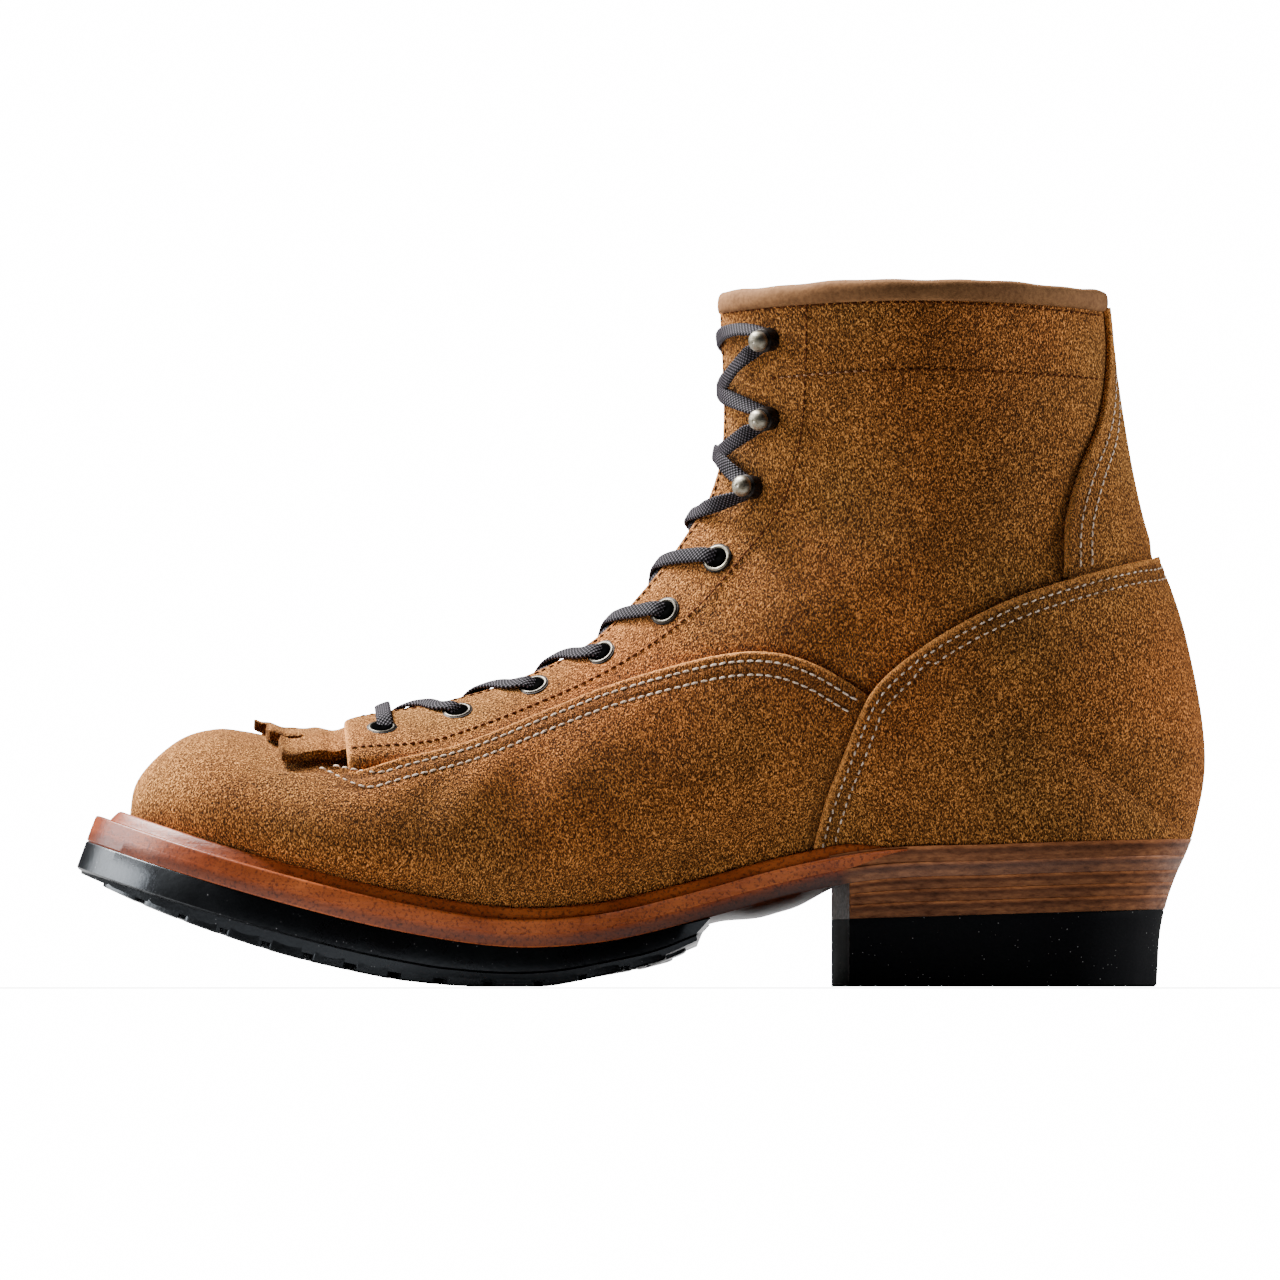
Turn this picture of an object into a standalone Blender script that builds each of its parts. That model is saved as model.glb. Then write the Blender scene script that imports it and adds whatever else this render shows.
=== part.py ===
"""Monkey boot for the right foot: a lace-to-toe ankle boot with a storm welt, a stacked heel and a
lugged rubber half sole. Toe towards -X, heel towards +X, medial side towards -Y, floor at Z = 0.

Sizes are in millimetres up to the point where a mesh is made. The upper is one function, last(u, v,
side): u runs from the toe tip to the collar, v from the ridge or throat to the welt or back seam.
"""
import math

import bmesh
import bpy
import numpy as np
from mathutils import Matrix, Vector

MM = 0.001
GAP = 0.3
MEDIAL, LATERAL = -1, 1

# Sole: lengths along the boot are x on the midsole's underside, heights n are square to it.
HEEL_END = 151.0
TOE_END = -151.0
SOLE_LENGTH = HEEL_END - TOE_END
MIDSOLE_TOP = 3.9
WELT_FLAT = 7.6
SEAT = 8.0
RIDGE_TOP = 10.6
RIDGE_WIDTH = 3.2
INSOLE_TOP = 11.0
WAIST_ROLL = 2.0
WAIST_CROWN = 3.2
WELT_END = 73.0
BREAST = 56.0
RUBBER_SIDE = 8.0
RUBBER_REAR_TOP = 19.0
RUBBER_REAR_FOOT = 14.6
LUG_LENGTH = 8.0
HEEL_TAPER_SIDE = 0.6

# Mesh of the upper: longest steps between rows, and columns above, under and below the overlays' edges.
ROW_STEP = 4.4
FINE_STEP = 1.7
EYESTAY_COLS = 6
BAND_COLS = 4
COUNTER_COLS = 4

# Leather thicknesses.
WALL = 2.2
OVERLAY = 2.2
COUNTER_PROUD = 0.4
TONGUE = 2.4
KILTIE = 2.2
BINDING_RISE = 5.3
BINDING_OVERHANG = 1.2

# Throat and slot: half widths across the boot.
THROAT_HALF = 9.5
TONGUE_HALF = 24.0
SLOT_FRONT = -87.5
SLOT_BACK = -80.0
EYESTAY_LIFT = 4.2
EYESTAY_LIFT_END = -54.0
COLLAR_RISE = 2.7
TOE_SWELL = 1.8

# Lace and its metal. The bed is how far the metal and the lace lie above the leather's true curve.
LACE_WIDTH = 5.0
LACE_THICK = 1.2
LACE_BED = 1.5
LACE_TRIM = 5.4
LACE_START = 0.25
METAL_BED = 0.7
EYELET_R = 4.5
EYELET_HOLE_R = 2.1
EYELET_RIM = 0.9
HOOK_HEAD_R = 3.3
HOOK_STEM_R = 1.4
HOOK_BASE_R = 3.6
HOOK_BASE = 0.8
HOOK_HEIGHT = 7.4
TURN_STEPS = 8

# Middle of the boot's box, in the coordinates of the tables below.
ORIGIN = np.array((0.46, 0.70, 0.0))

# Side view of the midsole's underside.
SOLE_LINE = np.array([
    # x, height
    (-165.0, 45.2), (-152.0, 40.2), (-125.0, 31.0), (-95.0, 22.2), (-65.0, 15.0), (-32.0, 10.7),
    (-10.0, 12.2), (15.0, 17.9), (38.0, 24.2), (58.0, 28.4), (100.0, 30.6), (155.0, 32.2),
])

# Plan of the sole's outer edge: half widths each side of the boot's axis.
PLAN = np.array([
    # from heel, medial, lateral
    (0.0, 0.0, 0.0), (10.0, 24.0, 24.0), (30.0, 34.0, 34.0), (60.0, 33.5, 33.5), (90.0, 29.0, 33.0),
    (120.0, 26.0, 34.0), (150.0, 30.0, 39.0), (180.0, 40.0, 46.0), (200.0, 46.0, 51.0),
    (215.0, 49.5, 52.5), (230.0, 51.0, 51.0), (249.0, 50.0, 46.5), (268.0, 46.0, 38.5),
    (282.0, 38.5, 28.5), (294.0, 26.0, 14.0), (302.0, 7.0, -7.0),
])

# How far the upper's wall stands in from the sole's edge.
WALL_INSET = np.array([
    # x, inset
    (-151.0, 10.8), (-60.0, 10.2), (-20.0, 8.2), (20.0, 6.4), (50.0, 5.6), (85.0, 3.9), (151.0, 3.3),
])

# Underside of the lugs, in side view.
TREAD_LINE = np.array([
    # x, height
    (-153.0, 31.0), (-131.0, 21.0), (-106.6, 12.0), (-92.1, 7.5), (-76.7, 3.8), (-65.8, 1.6),
    (-52.0, 0.0), (-24.0, 0.0), (-8.7, 3.4), (3.8, 6.6), (14.6, 11.6),
])

# Back of the heel, in side view: how far each height stands in from the heel end.
HEEL_BACK = np.array([
    # height, inset
    (0.0, 10.0), (7.4, 9.6), (12.8, 9.3), (18.3, 8.5), (23.8, 7.1), (29.2, 5.2), (34.7, 2.8),
    (39.9, 0.0),
])
HEEL_TOP_FRONT = 18.5
HEEL_TOP_BACK = 21.4
LIFT_LEVELS = (0.0, 0.375, 0.6875, 1.0)

# Sections of the last. A section's front end is its point on the ridge, its foot the place along the
# sole's plan, or, above the heel, a point of the back seam. Half widths are at the widest place, a
# share of the way from front to foot. Round and tuck shape the section at its two ends.
LAST_COLUMNS = ("front_x", "front_z", "ridge_y", "foot_x", "foot_z", "medial", "lateral", "widest",
                "front_round", "foot_tuck", "foot_round")
LAST_ROWS = (
    ("toe tip", -136.8, 43.9, -7.0, -151.0, 0, 7.0, -7.0, 0.60, 0.60, 0.45, 0.12),
    ("toe front", -135.2, 54.6, -6.6, -143.5, 0, 22.5, 10.0, 0.66, 0.62, 0.45, 0.12),
    ("toe shoulder", -125.5, 64.6, -6.0, -133.0, 0, 32.0, 21.5, 0.70, 0.60, 0.45, 0.12),
    ("toe top", -115.5, 67.9, -5.0, -119.0, 0, 38.5, 31.0, 0.72, 0.56, 0.45, 0.12),
    ("toe back", -105.0, 67.0, -4.0, -104.0, 0, 42.5, 38.0, 0.74, 0.54, 0.45, 0.12),
    ("throat front", -86.0, 67.8, -2.5, -85.0, 0, 44.8, 43.8, 0.76, 0.52, 0.45, 0.12),
    ("ball", -57.0, 77.6, -1.0, -50.0, 0, 42.5, 46.0, 0.76, 0.48, 0.45, 0.12),
    ("waist", -36.0, 84.2, 0.0, -17.0, 0, 36.0, 40.0, 0.70, 0.46, 0.45, 0.12),
    ("instep", -14.3, 95.3, 0.0, 20.0, 0, 31.5, 35.0, 0.64, 0.46, 0.45, 0.12),
    ("high instep", 2.0, 112.0, 0.0, 61.0, 0, 32.0, 34.0, 0.58, 0.46, 0.45, 0.12),
    ("short heel", 12.7, 127.0, 0.0, 112.0, 0, 33.5, 34.5, 0.56, 0.48, 0.40, 0.55),
    ("heel corner", 16.5, 133.4, 0.0, 147.7, 40.4, 34.0, 34.8, 0.54, 0.50, 0.0, 0.56),
    ("heel bulge", 19.4, 141.0, 0.0, 151.4, 62.0, 35.0, 35.6, 0.54, 0.50, 0.0, 0.60),
    ("counter top", 21.0, 149.3, 0.0, 146.2, 95.0, 34.6, 35.0, 0.52, 0.52, 0.0, 0.56),
    ("ankle", 21.6, 160.0, 0.0, 135.6, 127.5, 35.2, 35.6, 0.50, 0.54, 0.0, 0.52),
    ("shaft", 21.4, 173.0, 0.0, 129.4, 160.0, 38.0, 38.4, 0.50, 0.56, 0.0, 0.52),
    ("collar", 21.0, 184.6, 0.0, 126.6, 185.2, 40.0, 40.4, 0.50, 0.58, 0.0, 0.54),
)

# Side-view edges of the overlays.
VAMP_EDGE = np.array([
    # x, z
    (-84.0, 61.5), (-76.7, 59.8), (-64.0, 61.6), (-49.1, 66.1), (-24.6, 77.0), (-10.9, 83.0), (10.9, 89.3),
    (27.3, 90.6), (45.0, 86.6), (66.0, 76.5),
])
COUNTER_EDGE = np.array([
    # x, z
    (47.2, 36.0), (50.5, 51.0), (56.0, 64.7), (62.8, 79.7), (76.4, 92.0), (98.3, 104.3), (125.6, 113.3),
    (147.0, 118.0),
])
BACKSTAY_EDGE = np.array([
    # x, z
    (114.4, 103.0), (115.1, 110.6), (115.8, 127.8), (119.5, 141.0), (124.8, 154.5), (126.7, 166.3),
    (127.0, 178.3), (126.1, 187.0),
])
EYELETS = np.array([
    # x, z
    (-69.6, 68.4), (-49.7, 75.4), (-28.9, 82.4), (-10.6, 91.2), (6.8, 102.4), (21.0, 116.8),
])
HOOKS = np.array([
    # x, z
    (30.8, 136.0), (35.4, 154.8), (35.4, 175.3),
])


def smooth(x, table_x, table_y):
    """Cubic through a table's rows; a row's slope is the mean of both sides, weighted by distance."""
    step = np.diff(table_x)
    rise = np.diff(table_y) / step
    slope = np.concatenate([rise[:1], (step[:-1] * rise[1:] + step[1:] * rise[:-1])
                            / (step[:-1] + step[1:]), rise[-1:]])
    x = np.clip(np.asarray(x, dtype=float), table_x[0], table_x[-1])
    row = np.clip(np.searchsorted(table_x, x, side="right") - 1, 0, len(step) - 1)
    h = step[row]
    s = (x - table_x[row]) / h
    start = table_y[row] * (1 + 2 * s) * (1 - s) ** 2 + slope[row] * h * s * (1 - s) ** 2
    end = table_y[row + 1] * s * s * (3 - 2 * s) + slope[row + 1] * h * s * s * (s - 1)
    return start + end


def ramp(x, low, high):
    """0 below low, 1 above high, an S between."""
    s = np.clip((np.asarray(x, dtype=float) - low) / (high - low), 0.0, 1.0)
    return s * s * (3 - 2 * s)


def plan_angle(x):
    """The plan's own parameter: 0 at the heel end, pi at the toe, so both ends come out round."""
    return np.arccos(np.clip(1 - 2 * (HEEL_END - np.asarray(x, dtype=float)) / SOLE_LENGTH, -1, 1))


PLAN_ANGLE = plan_angle(HEEL_END - PLAN[:, 0])


def plan_edge(angle, side):
    """The sole's outer edge on one side."""
    x = HEEL_END - SOLE_LENGTH * (1 - np.cos(angle)) / 2
    half = smooth(angle, PLAN_ANGLE, PLAN[:, 1] if side == MEDIAL else PLAN[:, 2])
    return np.stack([x, side * half], -1)


def plan(angle, side, inset, inset_side=None):
    """The sole's edge moved in by inset; inset_side is the share's own value across the boot."""
    d = 1e-3
    ahead = plan_edge(np.clip(angle + d, 0, math.pi), side)
    behind = plan_edge(np.clip(angle - d, 0, math.pi), side)
    along = ahead - behind
    along = along / np.linalg.norm(along, axis=-1, keepdims=True)
    inward = -side * np.stack([along[..., 1], -along[..., 0]], -1)
    angle = np.asarray(angle, dtype=float)
    inward = np.where((angle <= 0)[..., None], (-1.0, 0.0), inward)
    inward = np.where((angle >= math.pi)[..., None], (1.0, 0.0), inward)
    across = inset if inset_side is None else inset_side
    return plan_edge(angle, side) + inward * np.stack(np.broadcast_arrays(inset, across), -1)


def sole_point(x, y, n):
    """Point n above the midsole's underside; the waist's lateral edge hangs lower than its medial one."""
    line_x, line_z = SOLE_LINE.T
    slope = smooth(x + 0.5, line_x, line_z) - smooth(x - 0.5, line_x, line_z)
    cosine = 1 / np.sqrt(1 + slope * slope)
    roll = WAIST_ROLL * ramp(x, -20, 25) * ramp(-x, -60, -12) * np.clip((y + 27) / 60, 0, 1)
    z = smooth(x, line_x, line_z) + n * cosine - roll
    return np.stack(np.broadcast_arrays(x - n * slope * cosine, y, z), -1)


LAST = {name: np.array([row[i + 1] for row in LAST_ROWS], dtype=float)
        for i, name in enumerate(LAST_COLUMNS)}
NAMES = [row[0] for row in LAST_ROWS]
CORNER = NAMES.index("heel corner")
TOE_TOP = NAMES.index("toe top")
REACH = (np.hypot(np.diff(LAST["front_x"]), np.diff(LAST["front_z"]))
         + np.hypot(np.diff(LAST["foot_x"]), np.diff(LAST["foot_z"]) * (np.arange(len(NAMES) - 1) >= CORNER)))
ROW_U = np.concatenate([[0.0], np.cumsum(np.sqrt(REACH))])
CORNER_U = ROW_U[CORNER]
END_U = ROW_U[-1]
FOOT_ANGLE = np.append(plan_angle(LAST["foot_x"][:CORNER]), 0.0)


def section(u, name):
    return smooth(u, ROW_U, LAST[name])


def seat_point(u, side, out=0.0):
    """Where a section stands on the welt's seat, moved out across the seat."""
    angle = np.clip(smooth(np.minimum(u, CORNER_U), ROW_U[:CORNER + 1], FOOT_ANGLE), 0, math.pi)
    x = HEEL_END - SOLE_LENGTH * (1 - np.cos(angle)) / 2
    edge = plan(angle, side, smooth(x, *WALL_INSET.T) - out)
    return sole_point(edge[..., 0], edge[..., 1], SEAT + GAP)


def foot_point(u, side):
    """Where a section ends: on the welt's seat as far as the heel corner, then on the back seam."""
    up = np.maximum(u, CORNER_U)
    back = np.stack([smooth(up, ROW_U[CORNER:], LAST["foot_x"][CORNER:]), 0 * up,
                     smooth(up, ROW_U[CORNER:], LAST["foot_z"][CORNER:])], -1)
    return np.where((u <= CORNER_U)[..., None], seat_point(u, side), back)


def outline_slope(u, side):
    """How fast the half width of the foot's outline falls towards the heel."""
    d = 0.02
    near = np.clip(u, d, CORNER_U - d)
    fall = side * (seat_point(near + d, side) - seat_point(near - d, side))[..., 1]
    run = (seat_point(near + d, side) - seat_point(near - d, side))[..., 0]
    return -fall / np.maximum(run, 1e-3)


def section_run(u, v, side):
    """Share of the way from front to foot, and half width, by two arcs that meet where it is widest."""
    ridge = side * section(u, "ridge_y")
    wide = section(u, "medial" if side == MEDIAL else "lateral")
    widest = section(u, "widest")
    foot = side * foot_point(u, side)[..., 1]
    swell = TOE_SWELL * ramp(u, 0, ROW_U[TOE_TOP])
    wide = np.where(u < ROW_U[TOE_TOP], np.clip(wide, foot, foot + swell), wide)
    tuck = section(u, "foot_tuck") * (1 - widest)
    reach = foot_point(u, side)[..., 0] - section(u, "front_x")
    stand = np.clip(tuck * reach * outline_slope(u, side), -0.1 * (wide - foot),
                    section(u, "foot_round") * (wide - foot))
    round_heel = ramp(u, ROW_U[CORNER - 1], CORNER_U)
    stand = stand * (1 - round_heel) + section(u, "foot_round") * (wide - foot) * round_heel

    def bezier(s, a, b, c, d):
        return a * (1 - s) ** 3 + 3 * b * s * (1 - s) ** 2 + 3 * c * s * s * (1 - s) + d * s ** 3

    s = np.clip(2 * v, 0, 1)
    run_front = bezier(s, 0, 0, 0.5 * widest, widest)
    half_front = bezier(s, ridge, ridge + section(u, "front_round") * (wide - ridge), wide, wide)
    s = np.clip(2 * v - 1, 0, 1)
    rest = 1 - widest
    run_foot = bezier(s, widest, widest + 0.5 * rest, 1 - tuck, 1)
    half_foot = bezier(s, wide, wide, foot + stand, foot)
    upper_half = v <= 0.5
    return np.where(upper_half, run_front, run_foot), np.where(upper_half, half_front, half_foot)


def bare_last(u, v, side):
    run, half = section_run(u, v, side)
    foot = foot_point(u, side)
    x = section(u, "front_x") * (1 - run) + foot[..., 0] * run
    z = section(u, "front_z") * (1 - run) + foot[..., 2] * run
    z = z + COLLAR_RISE * 4 * run * (1 - run) * ramp(u, ROW_U[-3], END_U)
    return np.stack([x, side * half, z], -1)


def unit(vector):
    return vector / np.linalg.norm(vector, axis=-1, keepdims=True)


def out_of_last(u, v, side):
    """Unit normal of the last, pointing out: level with the seat at the foot and in the boot's middle
    plane at the ridge and the back seam, so that what is laid on the last stays on its seat and joins."""
    d = 2e-3
    near_u = np.clip(u, 0.25, END_U - d)
    near_v = np.clip(v, d, 1 - d)
    along = bare_last(near_u + d, near_v, side) - bare_last(near_u - d, near_v, side)
    down = bare_last(near_u, near_v + d, side) - bare_last(near_u, near_v - d, side)
    normal = unit(side * np.cross(along, down))
    middle = (v <= 0) | ((v >= 1) & (u >= CORNER_U))
    normal = unit(normal * np.where(middle[..., None], (1.0, 0.0, 1.0), (1.0, 1.0, 1.0)))
    across_seat = unit(seat_point(u, side, 1.0) - seat_point(u, side))
    at_foot = (ramp(v, 0.86, 1.0) * (1 - ramp(u, CORNER_U, CORNER_U + 1.0)))[..., None]
    at_foot = np.where((u <= 0)[..., None], 1.0, at_foot)
    return unit(normal * (1 - at_foot) + across_seat * at_foot)


def last(u, v, side, lift=0.0):
    """The upper's outer face, lift millimetres out."""
    u, v, lift = np.broadcast_arrays(np.asarray(u, dtype=float), v, lift)
    return bare_last(u, v, side) + lift[..., None] * out_of_last(u, v, side)


DENSE_U = np.linspace(0.02, END_U, 900)
DENSE_V = np.linspace(0, 1, 400)


def side_to_last(points):
    """(u, v) on the medial side for points of the side view: their section first, then their place on it."""
    front = np.stack([section(DENSE_U, "front_x"), section(DENSE_U, "front_z")], -1)
    reach = foot_point(DENSE_U, MEDIAL)[:, ::2] - front
    found = []
    for point in points:
        off = point - front
        cross = reach[:, 0] * off[:, 1] - reach[:, 1] * off[:, 0]
        turn = np.nonzero((cross[:-1] > 0) != (cross[1:] > 0))[0]
        share = np.einsum("ij,ij->i", off, reach) / np.einsum("ij,ij->i", reach, reach)
        turn = turn[np.argmin(np.abs(share[turn] - 0.5))]
        s = cross[turn] / (cross[turn] - cross[turn + 1])
        u = DENSE_U[turn] * (1 - s) + DENSE_U[turn + 1] * s
        run = section_run(np.full_like(DENSE_V, u), DENSE_V, MEDIAL)[0]
        here = share[turn] * (1 - s) + share[turn + 1] * s
        found.append((u, np.interp(here, run, DENSE_V)))
    return np.array(found)


def edge_curve(points, steps=60):
    """A side-view edge as v for each u, from a smooth curve through its points."""
    at = np.concatenate([[0], np.cumsum(np.hypot(*np.diff(points, axis=0).T))])
    t = np.linspace(0, at[-1], steps)
    uv = side_to_last(np.stack([smooth(t, at, points[:, 0]), smooth(t, at, points[:, 1])], -1))
    uv = uv[np.argsort(uv[:, 0])]
    return lambda u: np.interp(u, uv[:, 0], uv[:, 1])


def front_to_u(x):
    """u of the section whose front end is at x, along the throat."""
    return float(np.interp(x, section(DENSE_U[60:600], "front_x"), DENSE_U[60:600]))


def half_to_v(u, half):
    """v at which each section is a given half width from the axis, mean of both sides."""
    u = np.atleast_1d(u)
    found = []
    for one in u:
        row = np.full_like(DENSE_V, one)
        width = (section_run(row, DENSE_V, MEDIAL)[1] + section_run(row, DENSE_V, LATERAL)[1]) / 2
        front = DENSE_V <= 0.5
        found.append(np.interp(half, width[front], DENSE_V[front]))
    return np.array(found)


SLOT_FRONT_U = front_to_u(SLOT_FRONT)
SLOT_BACK_U = front_to_u(SLOT_BACK)
LIFT_END_U = front_to_u(EYESTAY_LIFT_END)
vamp_edge = edge_curve(VAMP_EDGE)
counter_edge = edge_curve(COUNTER_EDGE)
backstay_edge = edge_curve(BACKSTAY_EDGE)
SLOT_V = float(vamp_edge(SLOT_BACK_U))


def eyestay_lift(u, v):
    """The eyestay's front end rides up over the kiltie."""
    along = 1 - ramp(u, SLOT_BACK_U, LIFT_END_U)
    return EYESTAY_LIFT * along * (1 - ramp(v, 0.35 * SLOT_V, 0.95 * SLOT_V)) * (u >= SLOT_BACK_U - 1e-6)


# Meshes, materials and collections.

for old in list(bpy.data.objects):
    bpy.data.objects.remove(old, do_unlink=True)

BOOT = bpy.data.collections.new("monkey_boot")
CUTTERS = bpy.data.collections.new("cutters")
bpy.context.scene.collection.children.link(BOOT)
bpy.context.scene.collection.children.link(CUTTERS)


def material(name, colour, roughness, metallic=0.0):
    made = bpy.data.materials.new(name)
    made.use_nodes = True
    shader = made.node_tree.nodes["Principled BSDF"]
    shader.inputs["Base Color"].default_value = (*colour, 1.0)
    shader.inputs["Roughness"].default_value = roughness
    shader.inputs["Metallic"].default_value = metallic
    return made


SUEDE = material("rough_out_leather", (0.36, 0.20, 0.11), 0.95)
BINDING = material("binding_leather", (0.34, 0.19, 0.11), 0.5)
WELT_LEATHER = material("welt_leather", (0.24, 0.08, 0.04), 0.35)
INSOLE_LEATHER = material("insole_leather", (0.45, 0.31, 0.20), 0.7)
RUBBER = material("black_rubber", (0.018, 0.017, 0.017), 0.35)
LACE = material("waxed_lace", (0.035, 0.028, 0.032), 0.7)
METAL = material("antique_metal", (0.20, 0.19, 0.18), 0.35, 1.0)


def mesh_object(name, verts, faces, finish, collection=BOOT):
    """Object from points in millimetres; points that meet are joined and the faces turned out."""
    mesh = bpy.data.meshes.new(name)
    points = [tuple(p) for p in (np.asarray(verts) - ORIGIN) * MM]
    mesh.from_pydata(points, [], [tuple(map(int, f)) for f in faces])
    work = bmesh.new()
    work.from_mesh(mesh)
    bmesh.ops.remove_doubles(work, verts=work.verts, dist=2e-6)
    bmesh.ops.dissolve_degenerate(work, edges=work.edges, dist=1e-7)
    bmesh.ops.recalc_face_normals(work, faces=work.faces)
    work.to_mesh(mesh)
    work.free()
    mesh.materials.append(finish)
    made = bpy.data.objects.new(name, mesh)
    collection.objects.link(made)
    return made


def block(name, under, over, finish, keep=None):
    """Closed solid between two grids of points of one shape. keep says which cells of the grid it has; one
    more column of cells than the grid's own closes the grid round from its last column to its first."""
    rows, cols = under.shape[:2]
    keep = np.ones((rows - 1, cols - 1), dtype=bool) if keep is None else keep
    round_trip = keep.shape[1] == cols
    count = rows * cols
    index = np.arange(count).reshape(rows, cols)

    def has(r, c):
        if round_trip:
            c %= cols
        return 0 <= r < rows - 1 and 0 <= c < keep.shape[1] and keep[r, c]

    faces = []
    for i, j in np.argwhere(keep):
        k = (j + 1) % cols
        quad = (index[i, j], index[i + 1, j], index[i + 1, k], index[i, k])
        faces.append(quad)
        faces.append([count + quad[q] for q in (0, 3, 2, 1)])
        for r, c, a, b in ((i - 1, j, 3, 0), (i + 1, j, 1, 2), (i, j - 1, 0, 1), (i, j + 1, 2, 3)):
            if not has(r, c):
                faces.append((quad[b], quad[a], count + quad[a], count + quad[b]))
    used = sorted({int(q) for face in faces for q in face})
    renumber = {old: new for new, old in enumerate(used)}
    verts = np.concatenate([under.reshape(-1, 3), over.reshape(-1, 3)])[used]
    return mesh_object(name, verts, [[renumber[int(q)] for q in face] for face in faces], finish)


def swept(name, rings, finish, collection=BOOT):
    """Closed solid from a row of closed sections, capped at both ends."""
    rows, cols = rings.shape[:2]
    faces = [(i * cols + j, i * cols + (j + 1) % cols, (i + 1) * cols + (j + 1) % cols, (i + 1) * cols + j)
             for i in range(rows - 1) for j in range(cols)]
    faces.append(list(range(cols))[::-1])
    faces.append(list(range((rows - 1) * cols, rows * cols)))
    return mesh_object(name, rings.reshape(-1, 3), faces, finish, collection)


def sole_grid(angles, across, inset, inset_side, n):
    """Grid of sole points: a row for each plan angle, columns from the medial to the lateral edge."""
    medial = plan(angles, MEDIAL, inset, inset_side)[:, None]
    lateral = plan(angles, LATERAL, inset, inset_side)[:, None]
    share = across[None, :, None]
    flat = medial * (1 - share) + lateral * share
    return sole_point(flat[..., 0], flat[..., 1], np.broadcast_to(n, flat.shape[:2]))


# The sole.

SOLE_ANGLES = np.concatenate([np.linspace(0, float(plan_angle(58.0)), 9), plan_angle([50, 42, 34, 27, 20]),
                              np.linspace(float(plan_angle(9.0)), math.pi, 19)])


def make_midsole():
    angles = SOLE_ANGLES
    across = np.linspace(0, 1, 4)
    x = HEEL_END - SOLE_LENGTH * (1 - np.cos(angles)) / 2
    crown = WAIST_CROWN * ramp(x, 20, 34) * ramp(-x, -50, -36)
    under_n = -crown[:, None] * (1 - (2 * across[None] - 1) ** 2)
    in_heel = 3.0 * ramp(x, BREAST, 110)
    under = sole_grid(angles, across, in_heel, in_heel * HEEL_TAPER_SIDE, under_n)
    over = sole_grid(angles, across, 0.6 * in_heel, 0.6 * in_heel * HEEL_TAPER_SIDE, MIDSOLE_TOP)
    block("midsole", under, over, WELT_LEATHER)


def make_insole():
    angles = SOLE_ANGLES
    x = HEEL_END - SOLE_LENGTH * (1 - np.cos(angles)) / 2
    inset = smooth(x, *WALL_INSET.T) + WALL + (7 + 6 * ramp(x, 105, 135)) * GAP
    across = np.array([0.0, 1.0])
    under = sole_grid(angles, across, inset, inset, MIDSOLE_TOP + 1.5 * GAP)
    over = sole_grid(angles, across, inset, inset, INSOLE_TOP)
    block("insole", under, over, INSOLE_LEATHER)


def seat_ring(name, angles_medial, profile, finish):
    """Strip round the toe or the heel: a closed profile of (inset, n) carried along the sole's edge."""
    rings = []
    for side, angles in ((MEDIAL, angles_medial), (LATERAL, angles_medial[::-1][1:])):
        x = HEEL_END - SOLE_LENGTH * (1 - np.cos(angles)) / 2
        wall = smooth(x, *WALL_INSET.T)
        for inset, n in profile(wall, x):
            edge = plan(angles, side, inset)
            rings.append(sole_point(edge[:, 0], edge[:, 1], n))
    half = len(rings) // 2
    medial = np.stack(rings[:half], 1)
    lateral = np.stack(rings[half:], 1)
    swept(name, np.concatenate([medial, lateral]), finish)


def make_welt():
    def profile(wall, x):
        foot = wall - OVERLAY - (5 + 2 * ramp(-x, 125, 140)) * GAP
        fade = ramp(-x, -WELT_END, -WELT_END + 16)
        top = SEAT - 0.3 + (RIDGE_TOP - SEAT + 0.3) * fade
        ridge = np.minimum(RIDGE_WIDTH, 0.72 * foot)
        flat = WELT_FLAT + 0 * x
        low = MIDSOLE_TOP + GAP + 0 * x
        inner = wall + WALL + GAP
        return ((0 * x, low), (0 * x, flat), (foot - ridge, flat), (foot - 0.75 * ridge, top - 0.4),
                (foot - 0.7, top), (foot, SEAT + 0 * x), (inner, SEAT + 0 * x), (inner, low))

    end = float(plan_angle(WELT_END))
    angles = np.concatenate([[end], SOLE_ANGLES[SOLE_ANGLES > end + 0.02]])
    seat_ring("welt", angles, profile, WELT_LEATHER)


def make_heel_rand():
    def profile(wall, x):
        low = MIDSOLE_TOP + GAP + 0 * x
        top = SEAT + 0 * x
        inner = wall + WALL + GAP
        return ((1.2 + 0 * x, low), (0.2 + 0 * x, top), (inner, top), (inner, low))

    end = float(plan_angle(WELT_END + GAP))
    angles = np.concatenate([[end], SOLE_ANGLES[SOLE_ANGLES < end - 0.02][::-1]])
    seat_ring("heel_rand", angles, profile, WELT_LEATHER)


def heel_level(x, share):
    """Height in the stacked heel: share 0 is the rubber's top, 1 the midsole's underside."""
    top = HEEL_TOP_FRONT + (HEEL_TOP_BACK - HEEL_TOP_FRONT) * (x - BREAST) / (HEEL_END - BREAST)
    return top * (1 - share) + smooth(x, *SOLE_LINE.T) * share


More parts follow.
